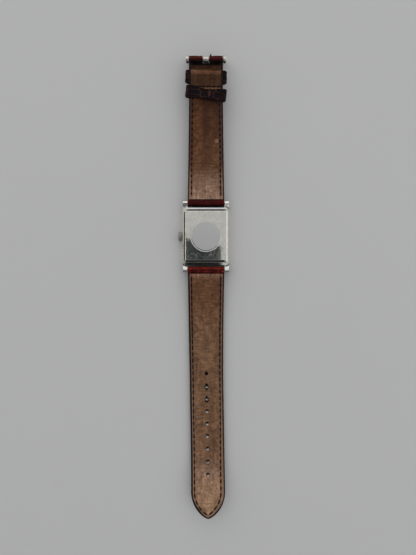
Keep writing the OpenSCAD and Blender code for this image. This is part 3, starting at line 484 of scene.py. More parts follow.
def steel_finish(name, colour, rough, painted_shade_ends=False):
    """Polished steel with smudges, fine scratches, slight grain and, if asked for, painted shade between the
    lugs and round the back's corners, with the lugs at the foot end painted bluer as painted reflection.
    """
    f = Finish(name, Metallic=1.0)
    smudge = f.noise(0.35, 4, 0.6).step(0.35, 0.7)
    scratches = (f.noise(3.2, 2, 0.5, stretch=(1, 0.05, 1), warp=0.6).step(0.66, 0.74) +
                 f.noise(3.6, 2, 0.5, stretch=(0.05, 1, 1), warp=0.6).step(0.67, 0.75))
    grain = f.noise(9.0, 2, 0.5, stretch=(1, 0.06, 1))
    tone = f.mix(smudge * 0.3, colour, shaded(colour, 0.78))
    if painted_shade_ends:
        x, y, _ = f.split(f.place)
        # painted shade: near black on the end walls between the lugs, in the shade of the loops, and in a
        # thin arc where each rounded corner of the back meets a lug
        inner = abs(y).step(CASE_END - 0.3, CASE_END - 0.2) * abs(x).step(LUG_IN - 0.1, LUG_IN + 0.1, (1, 0))
        across, down = abs(x) - 9.1, abs(y) - 11.9  # from the middle of the corner's arc
        seam = ((across * across + down * down) ** 0.5).between(2.1, 2.25, 2.6, 2.85)
        seam = seam * across.step(0.0, 0.3) * down.step(0.9, 1.3)
        painted_shade = inner.at_least(seam * y.step(-1, 1, (1, 0)).at_least(x.step(-1, 1, (0.45, 1))) * 0.9)
        # painted reflection: the lugs at the foot end take a darker, bluer copy of the steel; the painted
        # shade then goes on near black and not metallic
        tone = f.over(tone, (y.step(-13.6, -13.4, (1, 0)), shaded(colour, 0.72, 0.74, 0.79)),
                      (painted_shade * 0.97, SHADE_BLACK))
        f.set(Metallic=1 - painted_shade)
    f.set(Base_Color=tone, Roughness=rough + smudge * 0.07 + scratches * 0.12,
          Normal=f.bump(scratches * -0.5 + grain * 0.15, 0.004))
    return f.material


def back_finish():
    """The case back: polished panel, frosted disc, engraved ring, painted shade along the foot of the panel,
    and painted highlights on its edges.
    """
    f = Finish("back_steel", Specular_IOR_Level=0.0)
    x, y, z = f.split(f.place)
    r = (x * x + y * y) ** 0.5
    top = z.step(PANEL_Z - 0.3, PANEL_Z - 0.15)
    disc = r.step(DISC_R - 0.05, DISC_R + 0.05, (1, 0)) * top
    ring = r.between(DISC_R + 0.25, DISC_R + 0.4, DISC_R + 0.65, DISC_R + 0.8) * top
    mottle = f.noise(0.45, 5, 0.65, warp=0.5)
    haze = f.noise(1.6, 4, 0.6)
    uneven = (mottle - 0.5) * 0.12 + (haze - 0.5) * 0.1
    # painted shade in the corner between panel and brim, and where the brim meets the case
    side, end = abs(x) - PANEL_X + uneven, abs(y) - PANEL_Y + uneven
    left = (side.between(-0.36, -0.16, 0.32, 0.46) * x.step(-9, -8, (1, 0.1)) *
            abs(y).step(11.3, 12.3, (1, 0.2)))
    upper = end.between(-0.55, -0.4, 0.38, 0.52) * y.step(8, 9) * abs(x).step(8.8, 9.8, (1.0, 0.3))
    lower = end.between(-1.3, -1.1, -0.2, 0.0) * y.step(-9, -8, (1, 0)) * x.between(-PANEL_X, -9.6, 8.5, 9.5)
    # painted shade in the gap where the brim meets the loops, between the lugs
    lip = abs(y).step(13.68, 13.84) * abs(x).step(8.6, 9.2, (1, 0))
    corner_shade = left.at_least(upper).at_least(lower).at_least(lip) * z.step(BRIM_Z - 0.2, BRIM_Z - 0.1)
    swirls = (f.noise(2.6, 2, 0.5, stretch=(1, 0.07, 1), warp=1.2).step(0.6, 0.72) +
              f.noise(2.8, 2, 0.5, stretch=(0.07, 1, 1), warp=1.2).step(0.62, 0.74))
    frost = f.noise(16.0, 2, 0.6)
    dust = f.noise(1.1, 3, 0.7, warp=0.8).step(0.52, 0.62) * f.noise(0.35, 3, 0.6).step(0.34, 0.56)
    worn = swirls * 0.04 + haze.step(0.5, 0.75) * 0.035 + mottle.step(0.5, 0.8) * 0.03
    shadow = y.step(-12.9, -12.6, (0.82, 0)) * x.between(-10.4, -9.8, 6.5, 8.5)
    # painted highlight: near white on the panel's right bevel and along the top of the brim
    painted_highlight = x.between(9.6, 9.8, 10.2, 10.4) * abs(y).step(11.9, 12.6, (1, 0))
    painted_highlight = painted_highlight.at_least(y.step(12.9, 13.1) * abs(x).step(9.0, 10.0, (0.8, 0)))
    tone = f.over(paint("steel"),
                  (mottle.step(0.35, 0.7) * 0.5 + haze.step(0.45, 0.75) * 0.5,
                   shaded(paint("steel"), 0.78, 0.77, 0.75)),
                  (disc, paint("frosted")),
                  # painted highlight: the engraved ring is painted lighter on its lower half
                  (ring * 0.7, f.mix(y.step(-3, 1), (0.52, 0.52, 0.50), (0.40, 0.39, 0.37))),
                  (shadow, (0.02, 0.018, 0.018)),
                  (painted_highlight, (0.96, 0.955, 0.93)),
                  # painted shade: the brim on the right is painted greyer
                  (x.step(10.35, 10.5, (0, 0.35)), (0.42, 0.42, 0.41)),
                  (corner_shade * 0.97, SHADE_BLACK))
    f.set(Base_Color=tone, Roughness=0.045 + worn + disc * 0.38 + ring * 0.42 + corner_shade * 0.4,
          Metallic=(1 - corner_shade) * (1 - dust * 0.2),
          Normal=f.bump(swirls * -0.25 + haze * 0.2 + frost * disc * 0.9 + ring * frost * 0.5, 0.003))
    return f.material


def lining_finish(strap):
    """Worn lining leather: long grain, stains, furrowed seams, dark edges and pale rubbed stretches, with
    painted shade by the keepers, under the buckle's loops and in the holes' mouths, and painted light on the
    holes' walls.
    """
    f = Finish("lining_" + strap.name, Specular_IOR_Level=0.05)
    flat = f.noted("flat", 1)
    x, s, t = f.split(flat)
    rim, edge, seam = f.noted("rim"), f.noted("edge"), f.noted("seam")
    pale, warm, dark, black = (paint(name) for name in ("lining_pale", "lining_warm", "lining_dark", "rim"))
    streak = f.noise(0.9, 5, 0.62, flat, (1, 0.3, 1), 0.6)
    blotch = f.noise(0.22, 5, 0.62, flat, (1, 0.7, 1), 0.8)
    cross = f.noise(0.85, 4, 0.6, flat, (0.3, 1.2, 1), 0.9)
    fine = f.noise(1.15, 5, 0.7, flat)
    drift = blotch - 0.5
    fleck = f.cells(1.1, flat, (1, 0.55, 1)).step(0.08, 0.3, (1, 0)) * fine.step(0.5, 0.6)
    stroke = f.noise(0.5, 3, 0.6, flat, (1, 0.07, 1), 0.3).step(0.56, 0.66) * (1 - rim.step(1.8, 3.5, (1, 0)))
    worn = (blotch.step(0.32, 0.68, (0.76, 1.24)) * streak.step(0.3, 0.7, (0.86, 1.14)) *
            cross.step(0.3, 0.7, (0.74, 1.26)) * fine.step(0.3, 0.7, (0.74, 1.24)))
    lip = rim.between(0.6, 0.8, 1.15, 1.4)
    if strap.pointed:
        body = f.over(warm,
                      ((s + drift * 16).step(12, 36), paint("lining")),
                      ((s + drift * 14).step(86, 106), pale),
                      ((s + drift * 8).step(99, 106, (0, 0.6)), (0.30, 0.176, 0.096)),
                      (s.step(1.8, 5.5, (0.75, 0)) * fine.step(0.3, 0.6), pale))
    else:
        body = f.over(pale,
                      ((s + drift * 10).step(5, 19), shaded(warm, 0.84)),
                      ((s + drift * 10).step(20, 44), dark))
        # painted shadow of the keepers: the lining is painted darker from s 49 on
        body = f.over(body * (s + drift * 5).step(42, 49, (1, 0.36)),
                      ((s - strap.lining_s).between(0.2, 0.4, 0.6, 0.9, 0.75), shaded(pale, 1.25)))
    body = f.over(body * worn, (fleck * 0.6, dark), (stroke * 0.35, dark),
                  (rim.step(1.7, 3.2, (0.4, 0)), dark))

    if strap.pointed:
        # the holes: painted shade in their mouths, the first of them pulled long with dark rims instead, and
        # a rubbed lane beside them
        gap = f.add("Math", {"operation": "WRAP"}, {0: s - HOLES[0], 1: HOLE_PITCH / 2, 2: -HOLE_PITCH / 2})
        ring = (x * x + gap * gap) ** 0.5
        above = (x * x + (gap + 0.12) * (gap + 0.12)) ** 0.5
        pulled = (x * x * 1.3 + (gap - 0.3) * (gap - 0.3) * 0.42) ** 0.5
        on = s.between(HOLES[0] - 3, HOLES[0] - 2.8, HOLES[-1] + 2.8, HOLES[-1] + 3)
        first = s.between(53.8, 54.0, 65.5, 66.5)
        lane = (x - 0.4 + drift * 6).step(-1.6, 1.6) * (x + 0.2).step(2.2, 4.6, (1, 0))
        body = f.over(body,
                      (above.step(0.8, 1.15, (0.98, 0)) * on * (1 - first), (0.004, 0.003, 0.003)),
                      (pulled.step(0.9, 1.3, (0.98, 0)) * on * first, (0.003, 0.002, 0.002)),
                      (lane * on * 0.22, dark))
        # the seam: thread holes, pale lips on both sides of it, and painted edges
        off = abs(rim - 1.65 - s.step(55, 95, (0, 0.35)) * x.step(0, 4))
        beside = off.between(0.25, 0.35, 0.5, 0.8) * s.step(45, 70, (0.12, 0.55))
        edging = rim - x.step(-4, -2, (0.3, 0)) - s.step(strap.length - 9, strap.length - 3, (0, 0.25))
        body = f.over(body,
                      ((seam * s.step(28, 44, (0.8, 0.22)) * 1.2).at_most(0.93), black),
                      (beside * fine.step(0.3, 0.5, (0.5, 1)), pale),
                      (lip * s.step(60, 105, (0.25, 0.6)), pale),
                      (edging.step(0.45, 0.75, (0.97, 0.0)), black),
                      (edge, paint("edge_paint")),
                      # painted light: the hole walls are painted near white, paler than raw leather, where
                      # light shows through the holes
                      (t.step(-0.2, -0.1, (1, 0)) * ring.step(1.15, 1.2, (1, 0)) * on * s.step(53.4, 53.6),
                       paint("core")))
    else:
        # the lap from the buckle: dark leather, a raised ridge, a golden strip, painted shade under the
        # buckle's loops and a frayed end
        k = s + x * 0.03 + (fine - 0.5) * 0.7
        gold = f.mix((cross * 0.5 + fine * 0.5).step(0.44, 0.58), (0.014, 0.006, 0.003),
                     (0.062, 0.024, 0.008))
        fray = (fine.step(0.42, 0.54) * s.step(PATCH_S - 1.3, PATCH_S - 0.9) *
                s.step(PATCH_S - 0.5, PATCH_S - 0.2, (0.9, 0)))
        body = f.over(body,
                      (s.step(PATCH_S - 0.3, PATCH_S + 0.1), warm * worn * 0.42),
                      (k.between(59.9, 60.5, 61.5, 62.1), warm * worn * 0.95),
                      (k.step(61.5, 62.2) * 0.9, gold),
                      # painted shade: near black in the crevice under the loops round the buckle's bar
                      (s.step(63.4, 64.6), (0.002, 0.001, 0.001)),
                      (fray * x.step(-5.2, -3.6), (0.22, 0.105, 0.050)))
        # stains and marks of wear between the loop and the lap
        span = s.step(50, 53, (1, 0))
        spot = ((x - 5.2) * (x - 5.2) + (s - 29.5) * (s - 29.5)) ** 0.5
        stain = (x + cross * 2).step(-6, -4.5) * (x + cross * 4).step(-2, 1.5, (1, 0)) * s.step(20, 28)
        streaked = (x + cross * 3).between(-0.9, 0.9, 2, 4.5) * s.step(14, 20)
        mark = (x + 0.5 + (cross - 0.5) * 1.6).between(-0.55, -0.1, 0.1, 0.55) * s.step(3, 4.5)
        body = f.over(body,
                      (stain * span * blotch, worn * (0.115, 0.044, 0.017)),
                      (streaked * span * 0.4, (0.040, 0.014, 0.009)),
                      ((spot + (fine - 0.5) * 2.5).step(0.5, 1.3, (0.6, 0)), pale),
                      (rim.step(1.3, 1.5, (0.65, 0)) * s.step(14, 21) * span, (0.040, 0.020, 0.018)),
                      (mark * s.step(10, 17, (0.55, 0)) * fine.step(0.35, 0.55), dark),
                      ((seam * s.step(6, 14, (0.75, 0.35)) * 1.2).at_most(0.93), black),
                      (lip * s.step(8, 20, (0.5, 0.05)), pale),
                      # painted shadow of the keepers' sides: the black edge is painted wider past s 50
                      ((rim - s.step(46, 54) * 0.4).step(0.4, 0.8, (0.95, 0.0)), black),
                      (edge, paint("edge_paint")))
    pores = f.cells(3.4, flat, (1, 0.8, 1)).step(0.05, 0.42)
    creases = f.noise(0.8, 3, 0.6, flat, (0.35, 1.6, 1), 0.8).step(0.45, 0.62)
    f.set(Base_Color=body, Roughness=0.74 - edge * 0.3 + (fine - 0.5) * 0.2 - blotch.step(0.55, 0.75) * 0.12,
          Normal=f.bump(pores * 0.35 + fine * 0.5 + streak * 0.5 + creases * 0.4, 0.09))
    return f.material


def croc_finish(name, deep, red, worn, crease, gloss):
    """Glossy burgundy leather pressed with scales: redder on their crowns, rubbed where it is handled, and
    with painted highlights on the loops round the bars.
    """
    f = Finish(name, Coat_Roughness=0.2, Specular_IOR_Level=0.03)
    flat = f.noted("flat", 1)
    notes = ("groove", "edge", "rub", "fold", "shade", "core")
    groove, edge, rub, fold, shade, core = (f.noted(note_name) for note_name in notes)
    cloud = f.noise(0.28, 4, 0.6, flat, warp=0.4)
    fine = f.noise(3.2, 3, 0.6, flat)
    wrinkle = f.cells(1.5, flat, (1, 1.7, 1), "DISTANCE_TO_EDGE").step(0.0, 0.09)
    crown = groove.step(0.35, 1.0) * cloud.step(0.25, 0.75)
    body = f.over(deep,
                  (crown * (fold * 0.4 + 0.6), red),
                  (shade, (0.0025, 0.0012, 0.0012)),
                  (groove.step(0.0, 0.5, (0.9, 0.0)) * (1 - fold), (0.006, 0.0025, 0.0025)),
                  (groove.step(0.0, 0.45, (0.8, 0.0)) * fold, crease),
                  ((rub + (fine - 0.5) * 0.5).step(0.35, 0.95), worn),
                  (edge, paint("edge_paint")))
    # the hole walls are painted near white: raw leather with painted light
    f.set(Base_Color=f.mix(core, body * fine.step(0.25, 0.75, (0.8, 1.2)), paint("core")),
          Roughness=0.34 + (1 - groove) * 0.2 + (fine - 0.5) * 0.16 + rub * 0.2,
          Coat_Weight=(1 - rub * 0.9) * (1 - shade) * gloss,
          Normal=f.bump(wrinkle * 0.6 + fine * 0.35, 0.045))
    return f.material


def thread_finish():
    """Dark, twisted sewing thread."""
    f = Finish("thread", Specular_IOR_Level=0.05)
    twist = f.noise(4.0, 2, 0.5)
    f.set(Base_Color=f.mix(twist, paint("thread"), (0.010, 0.006, 0.004)), Roughness=0.62 + twist * 0.2,
          Normal=f.bump(twist, 0.03))
    return f.material


def metal_finish(name, colour, rough=0.3, circular=False, relief=0.01):
    """Small metal part of the movement: colour drift, machining marks and a little tarnish."""
    f = Finish(name, Metallic=1.0)
    drift = f.noise(0.5, 3, 0.6)
    if circular:
        x, y, _ = f.split(f.place)
        lines = f.add("Math", {"operation": "SINE"}, {0: (x * x + y * y) ** 0.5 * 45.0}) * 0.5 + 0.5
    else:
        lines = f.noise(7.0, 2, 0.5, stretch=(1, 0.08, 1))
    f.set(Base_Color=f.mix(drift.step(0.3, 0.75), colour, shaded(colour, 0.72)),
          Roughness=rough + lines * 0.1 + drift * 0.06, Normal=f.bump(lines, relief))
    return f.material


def plain_finish(name, colour, rough, speck=0.2, relief=0.02, scale=6.0, **constants):
    """Moulded, painted or felted part: fine grain with a slow drift of colour."""
    f = Finish(name, **constants)
    drift, grain = f.noise(0.4, 3, 0.6), f.noise(scale, 3, 0.6)
    f.set(Base_Color=f.mix(drift.step(0.3, 0.7) * speck + grain.step(0.45, 0.8) * speck, colour,
                           shaded(colour, 0.6)),
          Roughness=rough + grain * 0.12, Normal=f.bump(grain, relief))
    return f.material


def glass_finish():
    """Flat mineral glass: clear when looked through, with its reflection and a few hairline marks."""
    f = Finish("crystal_glass", Roughness=0.03, IOR=1.5)
    marks = f.noise(2.0, 2, 0.5, stretch=(1, 0.04, 1), warp=0.8).step(0.7, 0.78)
    f.set(Base_Color=(0.9, 0.95, 0.97), Normal=f.bump(marks, 0.002))
    clear = f.add("BsdfTransparent", inputs={0: (0.96, 0.98, 0.98)})
    facing = f.add("Fresnel", inputs={"IOR": 1.5})
    share = (facing * 0.9 + 0.03 + marks * 0.05).at_most(1.0)
    blend = f.add("MixShader", inputs={0: share, 1: clear, 2: Val(f, f.shader.outputs[0])})
    f.feed(f.tree.nodes["Material Output"].inputs[0], blend)
    return f.material


# Strap

def scale_relief(points, seed, columns, span, long=1.0):
    """Depth of pressed scales at flat places: 1 on them, 0 in the grooves. Long draws them out along s."""
    draw = np.random.RandomState(seed)
    cells = []
    for at, gap in columns:
        rows = np.arange(span[0] - gap, span[1] + gap, gap)
        shift = draw.uniform(0, gap)
        for row in rows:
            cells.append((at + draw.uniform(-0.28, 0.28), row + shift + draw.uniform(-0.2, 0.2) * gap))
    cells = np.array(cells)
    out = np.empty(len(points))
    for k in range(0, len(points), 4000):
        here = points[k:k + 4000, None]
        d = np.hypot(here[..., 0] - cells[None, :, 0], (here[..., 1] - cells[None, :, 1]) / long)
        d.partition(1, axis=1)
        out[k:k + 4000] = smooth((d[:, 1] - d[:, 0]) / 0.75) * (1 - 0.05 * d[:, 0] ** 2)
    return np.clip(out, 0, 1)


EDGE_STEPS = np.array([0, 0.05, 0.15, 0.3, 0.6, 1.0, 1.25, 1.5, 1.75, 2.1])  # a column of points at each


def spread(rows, half, count):
    """Places across and along a strap for its skin, closer near its edges, and how far in each of them is."""
    steps = EDGE_STEPS[None, :] * np.minimum(1, half[:, None] / 2.8)
    inner = (half - steps[:, -1])[:, None] * np.linspace(-1, 1, count + 2)[None, 1:-1]
    left = steps - half[:, None]
    x = np.concatenate([left, inner, -left[:, ::-1]], 1)
    return x, np.repeat(rows[:, None], x.shape[1], 1), half[:, None] - np.abs(x)


def tip_rows(strap, count):
    """Places along a pointed end, closer and closer together towards its tip."""
    k = np.linspace(0, 1, count)[1:]
    return strap.length - TIP_L + TIP_L * (1 - (1 - k) ** 1.9)


def rounding(gap, r):
    """How far a rounded edge falls back at a distance from it."""
    return r - np.sqrt(np.maximum(0, r * r - np.maximum(0, r - gap) ** 2))


def rim_distance(strap, x, s):
    """Distance in from the strap's edge, square to that edge."""
    slope = (strap.half(s + 0.05) - strap.half(s - 0.05)) / 0.1
    return (strap.half(s) - np.abs(x)) / np.sqrt(1 + slope**2)


def seam_inset(strap, x, s):
    """Distance of the seam from the edge. On the right of the long piece it wanders inwards."""
    wander = 0.35 * smooth((s - 55) / 40) * smooth(x / 4.0) if strap.pointed else 0
    return size("stitch_inset") + wander


def seam_groove(strap, rim, x, s):
    """Depth of the shallow furrow that a seam draws into the leather."""
    depth = SEAM_DEPTH * hump(rim, seam_inset(strap, x, s), SEAM_W)
    if not strap.pointed:
        depth = depth * (1 - smooth((s - PATCH_S + 1) / 0.5))
        depth = depth + SEAM_DEPTH * hump(s, PATCH_S + 0.1, SEAM_W) * smooth((6.9 - np.abs(x)) / 0.4)
    return depth * smooth((s - 2.6) / 0.8)


def hole_punches():
    """Punches for the nine holes, with the wall towards the tip dragged in by the tongue."""
    parts = []
    for i, s in enumerate(HOLES):
        kind = min(i, len(PUNCH_R) - 1)
        part = added("cylinder", vertices=32, radius=PUNCH_R[kind], depth=12, location=(0, s, -1))
        with editing(part):
            for level in (0, -PUNCH_DEEP):
                bpy.ops.mesh.select_all(action="SELECT")
                bpy.ops.mesh.bisect(plane_co=(0, 0, level), plane_no=(0, 0, 1))
        settled(part)
        co = points_of(part)
        tipward = np.clip((co[:, 1] - s) / 0.7, 0, 1)
        co[:, 1] += PUNCH_SHIFT[kind] - PUNCH_DRAG * tipward * np.clip(-co[:, 2] / PUNCH_DEEP, 0, 1)
        move_points(part, co)
        parts.append(part)
    return join("punches", parts)


def slot_punch(start):
    """Block that clears the slot for the tongue, in flat millimetres."""
    part = added("cube", size=1, location=(0, start + 10, -1))
    with editing(part):
        bpy.ops.transform.resize(value=(SLOT_W, 20, 9))
    return settled(part)


def laid(obj, strap):
    """Puts a piece that was made flat on the strap's curve."""
    move_points(obj, strap.place(points_of(obj)))
    with editing(obj):
        bpy.ops.mesh.normals_make_consistent(inside=False)
    return obj


def lining(strap):
    """Lining leather with soft edges, its holes, and on the short piece the raised lap by the buckle."""
    straight = strap.length - (TIP_L if strap.pointed else 0)
    rows = np.linspace(strap.lining_s, straight, int((straight - strap.lining_s) / 0.6) + 1)
    if strap.pointed:
        rows = np.concatenate([rows, tip_rows(strap, 34)])
    else:
        last = BUCKLE_S - LOOP_R - LOOP_CLEAR
        rows = np.concatenate([rows[rows < 53.7], np.arange(53.9, 55.8, 0.14),
                               rows[(rows > 55.9) & (rows < 59.3)],
                               np.arange(59.5, last - 0.1, 0.22), [last]])
    x, s, gap = spread(rows, strap.half(rows), 20)
    wave = np.sin(x * 0.9 + 1.7 * np.sin(s * 0.21)) * np.sin(s * 0.47 + 0.6 * np.sin(x * 0.5))
    t = 0.035 * wave * smooth(gap / 1.5) - rounding(gap, 0.28)
    t -= seam_groove(strap, rim_distance(strap, x, s), x, s)
    if not strap.pointed:
        k = s + 0.03 * x
        t += 0.12 * smooth((s - PATCH_S + 0.2) / 0.4)
        t += 0.3 * smooth((k - 60.0) / 0.7) * (1 - smooth((k - 61.7) / 0.5))
        t -= 0.2 * smooth((k - 61.9) / 0.8) + 0.3 * smooth((s - 63.7) / 1.0)
    under = [*range(x.shape[1] - 1, 0, -4), 0]  # the flat side needs fewer columns
    low = np.stack([x[:, under], s[:, under], np.full((len(rows), len(under)), -LINING_T)], 2)
    obj = skin(strap.name + "_lining", np.concatenate([np.stack([x, s, t], 2), low], 1))
    cut(obj, hole_punches() if strap.pointed else slot_punch(SLOT_LINING_S))
    flat = points_of(obj)
    rim = rim_distance(strap, flat[:, 0], flat[:, 1])
    note(obj, flat=flat, rim=rim, edge=smooth((0.14 - rim) / 0.12),
         seam=seam_groove(strap, rim, flat[:, 0], flat[:, 1]) / SEAM_DEPTH)
    finished(laid(obj, strap), strap.body, "lining_leather", lining_finish(strap), strap.body + "_lining")


def face_depth(strap, x, s, half):
    """Depth of the face leather's outer side below the lining side."""
    t = -LINING_T - FACE_T - strap.padding(np.maximum(s, 0), x / half)
    t = np.where(s < strap.loop_s, -2 * LOOP_R, t)
    start = smooth((s - strap.loop_s) / 1.2)
    t = np.where(s < strap.loop_s + 1.2, -2 * LOOP_R * (1 - start) + t * start, t)
    if not strap.pointed:
        k = smooth((s - 63.2) / 2.6)
        t = t * (1 - k) + (BUCKLE_T - LOOP_R) * k
    return t


def face(strap):
    """Face leather: one sheet from the lap behind the lug bar, round the bar and over the padding."""
    far = strap.length if strap.pointed else BUCKLE_S + LOOP_R * (math.pi + 1) - 0.02
    rows = np.arange(strap.lap_s, strap.length - (TIP_L if strap.pointed else 0), 0.42)
    if strap.pointed:
        rows = np.concatenate([rows, tip_rows(strap, 44)])
        half = strap.half(rows)
    else:
        rows = np.concatenate([rows[rows < BUCKLE_S], np.arange(BUCKLE_S, far, 0.3), [far]])
        half = strap.half(rows) - 0.05 * smooth(rows - 65)
    x, s, gap = spread(rows, half, 34)
    scales = (strap.seed, strap.scales, (strap.lap_s - 4, far + 4))
    scale = scale_relief(np.stack([x.ravel(), s.ravel()], 1), *scales).reshape(x.shape)
    sewn = smooth((s - 2) / 2) * (1 if strap.pointed else 1 - smooth((s - 52) / 2))
    ends = smooth((rows - rows[0]) / 0.5) * (1 if strap.pointed else smooth((rows[-1] - rows) / 0.5))
    t = face_depth(strap, x, s, half[:, None])
    t = t + size("scale_depth") * (1 - scale) * smooth(gap / 1.6) + rounding(gap, 0.35)
    t = t + seam_groove(strap, rim_distance(strap, x, s), x, s if strap.pointed else np.minimum(s, 50)) * sewn
    t = t + 0.3 * (1 - ends)[:, None]
    # the inner side: solid flanges along the edges, and a hollow for the padding and the bars
    shares = np.array([1, 0.87, 0.84, 0.4, -0.4, -0.84, -0.87, -1])
    inner_x = half[:, None] * shares[None, :]
    inner_s = np.repeat(rows[:, None], len(shares), 1)
    loop = inner_s < strap.loop_s + 0.95
    if not strap.pointed:
        loop |= inner_s > BUCKLE_S - 0.95
    flange = (np.abs(shares) > 0.85)[None, :] & ~loop
    inner_t = face_depth(strap, inner_x, inner_s, half[:, None]) + np.where(loop, LOOP_T, 0.98)
    inner_t = np.where(flange, -LINING_T - 0.02, inner_t)
    rings = np.concatenate([np.stack([x, s, t], 2), np.stack([inner_x, inner_s, inner_t], 2)], 1)
    obj = skin(strap.name + "_face", rings)
    cut(obj, hole_punches() if strap.pointed else slot_punch(SLOT_FACE_S))

    # what the material needs: scales, folds round the bars, shade inside them, wear and painted highlights on
    # the folds, and hole walls painted near white as painted light
    flat = points_of(obj)
    x, s, t = flat.T
    fold = s < strap.loop_s + 0.5
    shade = smooth((s - strap.loop_s + (3.0 if strap.pointed else 4.4)) / 0.4) * (s < strap.loop_s)
    core = np.zeros(len(flat))
    if strap.pointed:
        near = HOLES[np.argmin(np.abs(s[:, None] - HOLES[None, :]), axis=1)]
        inside = t > face_depth(strap, x, s, strap.half(s)) + 0.25
        core = (np.hypot(x, s - near) < 1.0) & inside & (near > HOLES[0])
        shade = shade + smooth((strap.lap_s + 1.8 - s) / 1.6) * 0.6
        # painted highlight: the loop round the lug bar is painted redder on its side towards the case, where
        # the key lamp's light falls
        rub = 0.62 * hump((strap.loop_s - s) / LOOP_R, 2.45, 0.5)
        red, worn, gloss = paint("leather_red"), (0.26, 0.032, 0.015), 0.04
    else:
        fold |= s > BUCKLE_S - 0.5
        shade = shade + smooth((s - BUCKLE_S - 5.0) / 1.2)
        # painted highlight: the loops round the buckle's bar are painted redder on their upper side
        rub = 0.62 * hump((s - BUCKLE_S) / LOOP_R, 2.7, 0.5)
        red, worn, gloss = paint("leather_red", 0.30), (0.10, 0.03, 0.02), 0.032
    edge = np.where(rim_distance(strap, x, s) < 0.12, 1.0, 0.0) * np.where(fold, 0.75, 1.0)
    note(obj, flat=flat, groove=scale_relief(flat[:, :2], *scales), fold=fold, shade=shade, core=core,
         rub=rub, edge=np.maximum(edge, smooth((strap.lap_s + 0.35 - s) / 0.3)))
    finish = croc_finish("croc_" + strap.name, paint("leather"), red, worn, (0.03, 0.006, 0.005), gloss)
    finished(laid(obj, strap), strap.body, "face_leather", finish,
             strap.body + "_face", strap.body + "_padding")


def thorn():
    """Thorn of torn leather that stands off the buckle's right loop."""
    cone = added("cone", vertices=7, radius1=0.5, radius2=0.03, depth=1)
    with editing(cone):
        bpy.ops.mesh.bisect(plane_co=(0, 0, 0.05), plane_no=(0, 0, 1))
    co = points_of(cone)
    co[:, 0] += 0.16 * (co[:, 2] + 0.5) ** 2
    move_points(cone, co)
    y, z = SHORT.local(BUCKLE_S, 0, BUCKLE_T)
    heading = math.radians(50)
    way = np.array([0.05, math.cos(heading), math.sin(heading)])
    side = np.array([1.0, 0, 0])
    up = np.cross(way, side)
    root = np.array([2.05, BAR_Y + float(y[0]), BAR_Z + float(z[0])]) + way * 2.0
    obj = many("torn_edge", cone, [(root * MM, side * 1.3 * MM, up * 0.45 * MM, way * 1.7 * MM)])
    finished(obj, SHORT.body, "face_leather",
             plain_finish("torn_leather", paint("leather_red", 0.2), 0.6, Specular_IOR_Level=0.05))


def fibres():
    """Short fibres where the lap from the buckle is sewn down."""
    draw = np.random.RandomState(4)
    cone = added("cone", vertices=5, radius1=0.5, radius2=0.12, depth=1)
    places = []
    for _ in range(54):
        x = draw.uniform(-5.4, 7.4)
        root = np.array([x, PATCH_S - 0.45 - draw.uniform(0, 0.25), 0.06])
        way = np.array([draw.uniform(-0.7, 0.7), -1.0, draw.uniform(-0.1, 0.25)])
        way = way / np.linalg.norm(way) * draw.uniform(0.4, 0.85)
        side = np.cross(way, (0, 0, 1.0))
        side = side / np.linalg.norm(side) * 0.17
        up = np.cross(side, way)
        places.append((root, side, up / np.linalg.norm(up) * 0.12, way))
    finished(laid(many("lap_fibres", cone, places), SHORT), SHORT.body, "lining_leather",
             plain_finish("raw_fibres", (0.23, 0.115, 0.058), 0.8, Specular_IOR_Level=0.1))


def stitch_model():
    """One stitch lying along Y: a short thread that dips into the leather at both ends."""
    obj = settled(added("cylinder", vertices=7, radius=0.5, depth=1, rotation=(math.pi / 2, 0, 0)))
    for y in (-0.3, -0.1, 0.1, 0.3):
        with editing(obj):
            bpy.ops.mesh.bisect(plane_co=(0, y, 0), plane_no=(0, 1, 0))
    x, y, z = points_of(obj).T
    end = np.abs(y) * 2
    thick = size("thread_width") * np.sqrt(np.maximum(0, 1 - 0.75 * end**3))
    move_points(obj, np.stack([x * thick, y * size("stitch_length"), z * 0.8 * thick - 0.17 * end**2], 1))
    return obj


def line_run(points):
    """Distance along a line of points."""
    return np.concatenate([[0], np.cumsum(np.linalg.norm(np.diff(points, axis=0), axis=1))])


def seam_places(strap, first, last):
    """Places and directions of the stitches along both sides of a piece, round the point where it has one."""
    pitch = size("stitch_pitch") * (1.0 if strap.pointed else 0.89)
    s = np.linspace(first, last, 4000)
    h = strap.half(s)
    tangent = np.stack([np.gradient(h, s), np.ones_like(s)], 1)
    tangent /= np.linalg.norm(tangent, axis=1)[:, None]
    out = []
    for side in (1, -1):
        inset = np.broadcast_to(seam_inset(strap, side * h, s), s.shape)[:, None]
        line = np.stack([h, s], 1) + inset * np.stack([-tangent[:, 1], tangent[:, 0]], 1)
        line = line[line[:, 0] > 0.0]
        run = line_run(line)
        count = int(run[-1] / pitch)
        for k in range(count):
            at = (k + 0.5) * run[-1] / count
            p, q = (np.array([np.interp(d, run, line[:, i]) for i in (0, 1)]) for d in (at, at + 0.2))
            way = (q - p) / max(np.linalg.norm(q - p), 1e-9)
            out.append((p * (side, 1), way * (side, 1)))
    return out


